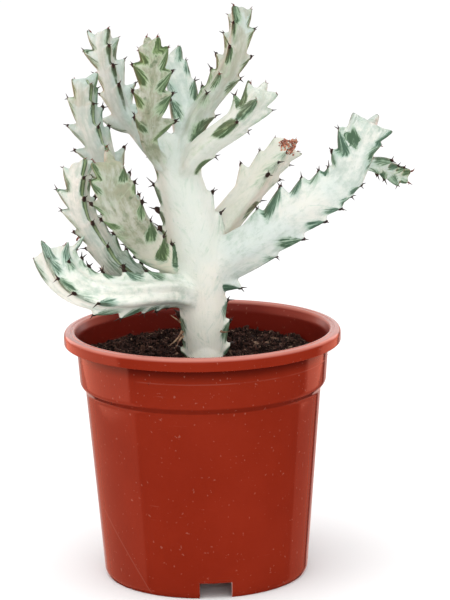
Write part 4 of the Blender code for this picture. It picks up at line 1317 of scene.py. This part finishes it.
cut_stem = next(stem for stem in stems if stem.name == SCAR_STEM)
station = dice.normal(*SCAR_STATION, SCAR_GRAINS).clip(SCAR_START, cut_stem.end)
angle = np.radians(dice.normal(*SCAR_ANGLE_DEG, SCAR_GRAINS))
seats = cut_stem.place(station, angle)
size = dice.uniform(0.4, 1.0, (SCAR_GRAINS, 1))
first = unit(dice.normal(size=(SCAR_GRAINS, 3)))
second = unit(np.cross(first, (0.2, 0.9, 0.4)))
points, faces, each = balls(seats, first * size, second * size * 0.8, np.cross(first, second) * size * 0.9,
                            GRAIN_ROWS, GRAIN_SIDES)
scar = make_piece("scar_grains", points, faces, cork_finish)
store(scar.data, "tone", np.repeat(dice.uniform(0.0, 1.0, SCAR_GRAINS), each))
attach(scar, "root")
print("cork grains:", SCAR_GRAINS)

# %% Dry scales at the trunk's foot
SCALE_ROOTS = [(-13.5, -5.0, 171.0), (-13.0, -8.0, 168.0), (-14.5, -1.0, 176.0), (12.5, -8.0, 171.0)]
SCALE_WAYS = [(-0.35, -0.35, -0.85), (-0.75, -0.5, -0.35), (-0.7, -0.2, 0.6), (0.75, -0.5, -0.3)]
SCALE_BENDS = [(-0.5, -0.2, 0.1), (0.2, 0.0, -0.5), (-0.4, 0.0, 0.3), (0.1, 0.0, 0.5)]
SCALE_LENGTHS = [12.0, 9.0, 7.0, 8.0]
SCALE_RADII = [1.2, 1.0, 0.8, 0.9]

dry_finish, tree, shader = new_finish("dried scale")
dry_noise = noise(tree, object_place(tree), 300.0, 3.0)
dry_colour = blend_colours(tree, ramp(tree, dry_noise, 0.35, 0.65), (0.50, 0.34, 0.20), (0.16, 0.08, 0.05))
feed(tree, shader.inputs["Base Color"], dry_colour)
shader.inputs["Roughness"].default_value = 0.8
bumped(tree, shader, dry_noise, 0.0003, 0.8)
points, faces, _ = cones(np.array(SCALE_ROOTS), unit(np.array(SCALE_WAYS)), np.array(SCALE_BENDS),
                         np.array(SCALE_LENGTHS), np.array(SCALE_RADII), np.zeros(len(SCALE_ROOTS)))
scales = make_piece("dry_scales", points, faces, dry_finish)
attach(scales, "root")
print("dry scales:", len(SCALE_ROOTS))

# %% [markdown]
# ## The pot
# The pot is injection-moulded: one thin wall, a rolled lip that hangs as a skirt, a wider collar, and a foot
# ring with notches that let water out. A turned profile gives all of it but the notches and the drain holes.
# The profile is a list of corners, and each corner is rounded by its own radius, because moulded plastic has no
# sharp edge. The notches and the holes are then cut with a Boolean.

# %% Pot profile
POT_HEIGHT = POT_HIGH.z / MM
LIP_RADIUS = (POT_HIGH.x - POT_LOW.x) / 2 / MM
POT_STEPS = 256
CORNER_STEPS = 6
CORNER_LIMIT = 0.45
SUPPORT_GAP = 0.8
# The middle of the floor: its underside and its top.
POT_FLOOR = (10.3, 12.5)
# Corners as (radius, height, how much the corner is rounded), from the floor's underside out, up and back in.
POT_CORNERS = [
    (66.2, 10.3, 1.0), (67.3, 0.15, 0.4), (68.9, 0.0, 0.5), (70.6, 3.2, 2.0), (71.25, 13.0, 0.8),
    (80.9, 131.0, 1.6), (84.5, 135.6, 1.6), (86.7, 165.6, 0.8), (87.6, 168.6, 0.8), (93.1, 168.7, 0.7),
    (93.4, 163.5, 0.5), (94.9, 163.4, 0.8), (LIP_RADIUS, 169.7, 1.4), (93.5, 171.7, 1.3),
    (90.9, POT_HEIGHT, 0.5), (90.4, 171.4, 0.3), (89.9, 171.4, 0.3), (89.4, POT_HEIGHT, 0.4),
    (87.9, 171.7, 0.6), (85.1, 165.8, 1.5), (83.0, 136.4, 1.5), (79.3, 131.8, 1.5), (69.4, 12.5, 1.5),
]


def rounded(corners):
    """A profile whose corners are arcs: each corner's two tangent points are joined by a quadratic curve.

    A straight run gets a point close to each of its ends, which keeps the shading of a long wall straight.
    """
    corners = np.array(corners, float)
    place, radius = corners[:, :2], corners[:, 2]
    curve = [place[:1]]
    t = np.linspace(0.0, 1.0, CORNER_STEPS)[:, None]
    for before, here, after, size in zip(place[:-2], place[1:-1], place[2:], radius[1:-1]):
        back, onward = before - here, after - here
        first = here + back * min(size / np.linalg.norm(back), CORNER_LIMIT)
        last = here + onward * min(size / np.linalg.norm(onward), CORNER_LIMIT)
        curve.append((1 - t)**2 * first + 2 * t * (1 - t) * here + t**2 * last)
    curve = np.vstack(curve + [place[-1:]])
    steps = np.diff(curve, axis=0)
    lengths = np.linalg.norm(steps, axis=1)
    long = np.flatnonzero(lengths > 4 * SUPPORT_GAP)
    ways = steps[long] / lengths[long, None]
    extra = np.stack([curve[long] + ways * SUPPORT_GAP, curve[long + 1] - ways * SUPPORT_GAP], axis=1)
    return np.insert(curve, np.repeat(long + 1, 2), extra.reshape(-1, 2), axis=0)


pot_finish, pot_tree, pot_shader = new_finish("terracotta coloured plastic")
pot = make_piece("pot_shell", *turned(rounded(POT_CORNERS), POT_FLOOR, POT_STEPS), pot_finish)
print("pot:", len(pot.data.polygons), "faces")

# %% Notches and drain holes
NOTCH_SIZE = (18.0, 22.0, 26.4)
NOTCH_TURNS_DEG = (-85.0, 35.0, 155.0)
NOTCH_MIDDLE = (72.0, 0.0, -2.0)
DRAIN_RADIUS = 5.0
DRAIN_HEIGHTS = (5.0, 18.0)
DRAIN_RING_RADIUS = 47.0
DRAIN_COUNT = 6
DRAIN_STEPS = 48
SHARP_ANGLE_DEG = 40
# The middle of the wall, as (height, radius): what lies inside it, above the floor, is the pot's inner face.
WALL_MIDDLE = [(12.0, 70.3), (131.5, 80.0), (136.0, 83.6), (166.0, 86.0), (170.5, 88.4)]


def box_cutter(turn):
    """A box standing across the foot ring at that turn. Its top is as high as the notch."""
    half = np.array(NOTCH_SIZE) / 2
    signs = np.array([(x, y, z) for z in (-1, 1) for x, y in ((-1, -1), (1, -1), (1, 1), (-1, 1))])
    corners = signs * half + NOTCH_MIDDLE
    across = corners[:, 0] * math.cos(turn) - corners[:, 1] * math.sin(turn)
    away = corners[:, 0] * math.sin(turn) + corners[:, 1] * math.cos(turn)
    faces = [(3, 2, 1, 0), (4, 5, 6, 7), (0, 1, 5, 4), (1, 2, 6, 5), (2, 3, 7, 6), (3, 0, 4, 7)]
    return np.column_stack([across, away, corners[:, 2]]), faces


def hole_cutter(turn):
    """An upright cylinder through the pot's floor."""
    centre = (DRAIN_RING_RADIUS * math.cos(turn), DRAIN_RING_RADIUS * math.sin(turn))
    rings = ring_stack([(DRAIN_RADIUS, height) for height in DRAIN_HEIGHTS], DRAIN_STEPS, centre)
    faces = grid_faces(2, DRAIN_STEPS).tolist()
    faces += [list(range(DRAIN_STEPS))[::-1], list(range(DRAIN_STEPS, 2 * DRAIN_STEPS))]
    return rings.reshape(-1, 3), faces


cutters = bpy.data.collections.new("openings")
bpy.context.scene.collection.children.link(cutters)
shapes = [box_cutter(math.radians(turn)) for turn in NOTCH_TURNS_DEG]
shapes += [hole_cutter(2 * math.pi * (k + 0.5) / DRAIN_COUNT) for k in range(DRAIN_COUNT)]
for number, (points, faces) in enumerate(shapes):
    mesh = bpy.data.meshes.new(f"opening_{number}")
    mesh.from_pydata(in_frame(points).tolist(), [], faces)
    cutters.objects.link(bpy.data.objects.new(f"opening_{number}", mesh))
cut = pot.modifiers.new("openings", "BOOLEAN")
cut.operation = "DIFFERENCE"
cut.operand_type = "COLLECTION"
cut.collection = cutters
cut.solver = "EXACT"
applied(pot)
for cutter in list(cutters.objects):
    bpy.data.objects.remove(cutter)
bpy.data.collections.remove(cutters)
pot.data.set_sharp_from_angle(angle=math.radians(SHARP_ANGLE_DEG))
pot_points = points_of(pot.data)
wall_middle = np.interp(pot_points[:, 2], *np.array(WALL_MIDDLE).T)
inside = (np.hypot(pot_points[:, 0], pot_points[:, 1]) < wall_middle) & (pot_points[:, 2] > WALL_MIDDLE[0][0])
store(pot.data, "inside", inside)
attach(pot, "root")
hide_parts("pot")
print("pot with openings:", len(pot.data.polygons), "faces")

# %% [markdown]
# ## The plastic
# New pots are satin. This one has been handled: it has a bloom of dust, pale specks, and fine scuffs that run
# round it where pots were stacked. The colour itself is even, so nearly all of the detail is in how the surface
# shines, but for painted light: a painted shadow under the lip, at the step and on the inner face, and a
# painted highlight on the lip's top and along the seam.

# %% The plastic's colour, painted shadows, a painted highlight, and wear
# Pairs are heights in metres between which a mark comes or goes.
PAINTED_LIP_SHADOW = (0.152, 0.1612)
PAINTED_LIP_SHADOW_ENDS = (0.1632, 0.1635)
PAINTED_STEP_SHADOW = (0.1308, 0.1318)
PAINTED_STEP_SHADOW_ENDS = (0.1345, 0.136)
PAINTED_LIP_HIGHLIGHT = (0.1695, 0.1712)

tree, shader = pot_tree, pot_shader
place = object_place(tree)
side, depth, height = axes_of(tree, place)
haze = noise(tree, place, 14.0, 5.0, 0.6)
grit = noise(tree, place, 420.0, 2.0, 0.5)
specks = ramp(tree, noise(tree, place, 430.0, 1.0, 0.4, shift=(5.0, 2.0, 0.0)), 0.70, 0.78)
scuffs = ramp(tree, noise(tree, place, 60.0, 4.0, 0.6, stretch=(0.6, 0.6, 9.0)), 0.68, 0.78)
scuffs = calc(tree, "MULTIPLY", scuffs, ramp(tree, haze, 0.45, 0.6))
body_colour = blend_colours(tree, ramp(tree, haze, 0.35, 0.65), (0.2, 0.0155, 0.0052), (0.222, 0.018, 0.006))
# Painted shadow: the collar is painted darker just under the lip's skirt, and along the step's chamfer, where
# shade falls.
painted_lip_shadow = ramp(tree, height, *PAINTED_LIP_SHADOW, 0.0, 0.75)
painted_step_shadow = ramp(tree, height, *PAINTED_STEP_SHADOW_ENDS, 0.35, 0.0)
painted_step_shadow = calc(tree, "MULTIPLY", ramp(tree, height, *PAINTED_STEP_SHADOW), painted_step_shadow)
painted_shadow = calc(tree, "MAXIMUM", painted_lip_shadow, painted_step_shadow)
painted_shadow = calc(tree, "MULTIPLY", painted_shadow, ramp(tree, height, *PAINTED_LIP_SHADOW_ENDS, 1.0, 0.0))
body_colour = blend_colours(tree, painted_shadow, body_colour, (0.045, 0.002, 0.0008))
# Painted shade: the pot's inner face is painted darker, standing in for the light that the walls and the plant
# keep out.
body_colour = blend_colours(tree, attribute(tree, "inside"), body_colour, (0.15, 0.008, 0.003))
# Painted highlight: the lip's top is painted paler and pinker, standing in for the light it catches from above.
painted_lip_highlight = ramp(tree, height, *PAINTED_LIP_HIGHLIGHT, 0.0, 0.9)
body_colour = blend_colours(tree, painted_lip_highlight, body_colour, (0.52, 0.18, 0.14))
print("nodes for the plastic's colour:", len(tree.nodes))

# %% A seam and a crease, painted paler, and the shine
SEAM_HEIGHT = 0.1526
SEAM_HALF_WIDTH = 0.0006
# The crease is where side x across + rise x height + offset, in metres from the pot's axis, is nothing.
CREASE_SIDE = 0.85
CREASE_RISE = 0.527
CREASE_OFFSET = 0.0313
CREASE_HALF_WIDTH = 0.0007
CREASE_TOP = (0.05, 0.062)
CREASE_FRONT = (-0.03, -0.02)

seam = calc(tree, "ABSOLUTE", calc(tree, "SUBTRACT", height, SEAM_HEIGHT))
seam = ramp(tree, seam, 0.0, SEAM_HALF_WIDTH, 1.0, 0.0)
seam = calc(tree, "MULTIPLY", seam, ramp(tree, haze, 0.47, 0.62, 0.0, 0.7))
slant = calc(tree, "MULTIPLY_ADD", height, CREASE_RISE, CREASE_OFFSET - CREASE_SIDE * POT_X)
slant = calc(tree, "MULTIPLY_ADD", side, CREASE_SIDE, slant)
crease = ramp(tree, calc(tree, "ABSOLUTE", slant), 0.0, CREASE_HALF_WIDTH, 1.0, 0.0)
crease = calc(tree, "MULTIPLY", crease, ramp(tree, height, *CREASE_TOP, 1.0, 0.0))
crease = calc(tree, "MULTIPLY", crease, ramp(tree, depth, *CREASE_FRONT, 1.0, 0.0))
seam = calc(tree, "MAXIMUM", seam, calc(tree, "MULTIPLY", crease, 0.6))
# Painted highlight: the seam's line is painted paler, and the crease is painted paler too, as well as both
# being raised.
dust_and_seam_highlight = calc(tree, "MAXIMUM", calc(tree, "MULTIPLY", specks, 0.16), calc(tree, "MULTIPLY", scuffs, 0.12))
dust_and_seam_highlight = calc(tree, "MAXIMUM", dust_and_seam_highlight, calc(tree, "MULTIPLY", seam, 0.14))
feed(tree, shader.inputs["Base Color"], blend_colours(tree, dust_and_seam_highlight, body_colour, (0.60, 0.30, 0.22)))
gloss = calc(tree, "MULTIPLY_ADD", dust_and_seam_highlight, 0.5, ramp(tree, haze, 0.3, 0.7, 0.08, 0.11))
feed(tree, shader.inputs["Roughness"], calc(tree, "MULTIPLY_ADD", attribute(tree, "inside"), 0.2, gloss))
shader.inputs["Specular IOR Level"].default_value = 0.42
raised = calc(tree, "MULTIPLY_ADD", grit, 0.4, calc(tree, "ADD", haze, seam))
bumped(tree, shader, raised, 0.00012, 0.35)
print("nodes in the whole finish:", len(tree.nodes))

# %% [markdown]
# ## The soil
# Potting mix is crumbs of peat and bark. From a step away only its top shows. The bed below is one closed
# surface that fills the pot and leaves a plain hole for the stem. Its top carries the low lumps of the solid
# and a layer of fine noise. The loose crumbs on it are thousands of small rough stones, each with twenty faces.

# %% Soil bed
SOIL_TOP = 152.0
SOIL_LUMP = 2.6
SOIL_FLAT_RADIUS = 24.0
SOIL_STEPS = 320
SOIL_RINGS = 120
SOIL_SINK = 1.0
BED_TONE = 0.12
# The bed's underside and outer face, and the plain hole for the stem, as (radius, height).
SOIL_OUTER = [(10.0, 12.8), (69.0, 12.8), (79.0, 131.5), (82.6, 136.0), (83.9, 149.0)]
STEM_HOLE = [(14.8, 148.0), (10.3, 111.7)]


def soil_height(across, away):
    """Height of the soil's top: three crossing waves, flat close to the stem, as in the solid."""
    radius = np.hypot(across, away)
    waves = np.sin(across * 0.11 + 0.6) * np.cos(away * 0.13 - 0.4)
    waves = waves + 0.6 * np.sin(across * 0.21 - away * 0.17 + 1.9)
    waves = waves + 0.4 * np.cos(across * 0.35 + away * 0.31)
    risen = s_curve(radius, SOIL_FLAT_RADIUS - 4.0, SOIL_FLAT_RADIUS + 8.0)
    return SOIL_TOP + SOIL_LUMP * 0.5 * waves * risen


def lattice_noise(x, y, cell, table):
    """Smooth random values from -1 to 1: random numbers at the corners of square cells, blended by S curves."""
    size = len(table)
    fx, fy = x / cell, y / cell
    i, j = np.floor(fx).astype(int), np.floor(fy).astype(int)
    u, v = s_curve(fx - i, 0.0, 1.0), s_curve(fy - j, 0.0, 1.0)
    value = [[table[(i + a) % size, (j + b) % size] for b in (0, 1)] for a in (0, 1)]
    near = value[0][0] * (1 - v) + value[0][1] * v
    far = value[1][0] * (1 - v) + value[1][1] * v
    return near * (1 - u) + far * u


def heaps(across, away):
    """Low heaps of loose crumbs, away from the stem and the wall."""
    radius = np.hypot(across, away)
    clear = s_curve(radius, 16.0, 30.0) * (1.0 - s_curve(radius, 74.0, 82.0))
    return clear * (2.0 * lattice_noise(across + 90, away + 20, 8.7, table)
                    + 1.3 * lattice_noise(across, away + 70, 4.6, table.T))


table = dice.uniform(-1.0, 1.0, (64, 64))
angle = turns(SOIL_STEPS)
share = np.linspace(0.0, 1.0, SOIL_RINGS)[:, None]
rim, hole = SOIL_OUTER[-1][0], STEM_HOLE[0][0]
top_radius = rim + (hole - rim) * share
across = top_radius * np.cos(angle) + STEM_X * share
away = top_radius * np.sin(angle) + 0 * share
crumble = 0.9 * lattice_noise(across, away, 3.1, table) + 0.5 * lattice_noise(across + 40, away, 1.5, table.T)
top = soil_height(across, away) + heaps(across, away) - SOIL_SINK + crumble
rings = np.concatenate([ring_stack(SOIL_OUTER, SOIL_STEPS), np.stack([across, away, top], axis=-1),
                        ring_stack(STEM_HOLE, SOIL_STEPS, (STEM_X, 0.0))])
poles = [(0, 0, SOIL_OUTER[0][1]), (STEM_X, 0, STEM_HOLE[-1][1])]
points, faces = np.vstack([rings.reshape(-1, 3), poles]), closed_faces(len(rings), SOIL_STEPS)
soil_finish, soil_tree, soil_shader = new_finish("peat and bark")
soil = make_piece("soil_bed", points, faces, soil_finish)
store(soil.data, "tone", np.full(len(points), BED_TONE))
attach(soil, "root")
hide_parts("soil")
print("soil bed:", len(faces), "faces")

# %% Crumbs
CRUMBS = 6500
CRUMB_STEM_CLEARANCE = 13.0
CRUMB_EDGE = 82.0
BALL_ROWS = 4
BALL_SIDES = 5


def scattered(count):
    """Random places on the soil between the stem and the wall, evenly spread over the area."""
    radius = np.sqrt(dice.uniform(CRUMB_STEM_CLEARANCE**2, CRUMB_EDGE**2, count))
    turn = dice.uniform(0.0, 2 * math.pi, count)
    x, y = radius * np.cos(turn) + STEM_X * (1 - radius / 83.0), radius * np.sin(turn)
    return np.column_stack([x, y, soil_height(x, y) + heaps(x, y)])


def lifted(places, low, high):
    """The same places, each raised by a random amount between low and high."""
    return places + np.column_stack([np.zeros((len(places), 2)), dice.uniform(low, high, len(places))])


def random_axes(count):
    """Three directions at right angles for each of count stones, the last of them random."""
    axes = unit(dice.normal(size=(count, 3)))
    first = unit(np.cross(axes, (0.0, 0.1, 1.0)))
    return first, np.cross(axes, first), axes


size = np.exp(dice.normal(-0.4, 0.5, CRUMBS)).clip(0.3, 2.2)
places = lifted(scattered(CRUMBS), -0.9, 0.6)
first, second, axes = random_axes(CRUMBS)
points, faces, each = balls(places, first * (size * dice.uniform(0.35, 1.1, CRUMBS))[:, None],
                            second * (size * dice.uniform(0.6, 1.1, CRUMBS))[:, None],
                            axes * (size * dice.uniform(0.8, 2.4, CRUMBS))[:, None], BALL_ROWS, BALL_SIDES)
points = points + dice.normal(0.0, 0.16, points.shape)
crumbs = make_piece("soil_crumbs", points, faces, soil_finish, smooth=False)
store(crumbs.data, "tone", np.repeat(dice.uniform(0.0, 1.0, CRUMBS)**2.2, each))
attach(crumbs, "root")
print("crumbs:", CRUMBS, "of", len(faces) // CRUMBS, "faces each")

# %% Grit
GRIT = 9000
GRIT_ROWS = 3
GRIT_SIDES = 4
places = lifted(scattered(GRIT), 0.1, 1.1)
first, second, axes = random_axes(GRIT)
size = dice.uniform(0.25, 0.62, (GRIT, 1))
points, faces, each = balls(places, first * size, second * size * 0.7,
                            axes * size * dice.uniform(0.8, 2.6, (GRIT, 1)), GRIT_ROWS, GRIT_SIDES)
grit_pieces = make_piece("soil_grit", points, faces, soil_finish, smooth=False)
store(grit_pieces.data, "tone", np.repeat(dice.uniform(0.0, 1.0, GRIT)**1.6, each))
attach(grit_pieces, "root")
print("grit:", GRIT, "of", len(faces) // GRIT, "faces each")

# %% Fibres
FIBRES = 420
middle = scattered(FIBRES) + (0.0, 0.0, 0.5)
turn = dice.uniform(0.0, 2 * math.pi, FIBRES)
way = unit(np.column_stack([np.cos(turn), np.sin(turn), dice.uniform(-0.15, 0.35, FIBRES)]))
bend = dice.normal(0.0, 0.18, (FIBRES, 3))
length = dice.uniform(2.5, 8.0, FIBRES)
points, faces, tone = cones(middle, way, bend, length, dice.uniform(0.12, 0.4, FIBRES),
                            dice.uniform(0.45, 1.0, FIBRES))
fibres = make_piece("soil_fibres", points, faces, soil_finish)
store(fibres.data, "tone", tone)
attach(fibres, "root")
print("fibres:", FIBRES)

# %% Soil finish
tree, shader = soil_tree, soil_shader
place = object_place(tree)
rough_noise = noise(tree, place, 520.0, 4.0, 0.65)
tone = calc(tree, "MULTIPLY_ADD", rough_noise, 0.5, attribute(tree, "tone"))
peat = blend_colours(tree, ramp(tree, tone, 0.2, 0.85), (0.007, 0.003, 0.0024), (0.065, 0.028, 0.02))
peat = blend_colours(tree, ramp(tree, tone, 1.05, 1.4), peat, (0.42, 0.28, 0.19))
feed(tree, shader.inputs["Base Color"], peat)
shader.inputs["Roughness"].default_value = 0.9
shader.inputs["Specular IOR Level"].default_value = 0.25
bumped(tree, shader, rough_noise, 0.0006, 0.8)
print("soil finish:", len(tree.nodes), "nodes")

# %% [markdown]
# ## The floor
# A plain pale floor carries the soft contact shadow, and nothing else.

# %% Floor finish
floor_finish, tree, shader = new_finish("white floor")
paper = noise(tree, object_place(tree), 30.0, 2.0)
feed(tree, shader.inputs["Base Color"], blend_colours(tree, paper, (0.95, 0.95, 0.95), (0.97, 0.97, 0.97)))
shader.inputs["Roughness"].default_value = 0.9
shader.inputs["Specular IOR Level"].default_value = 0.0
floor.data.materials.append(floor_finish)
print("floor finish:", len(tree.nodes), "nodes")
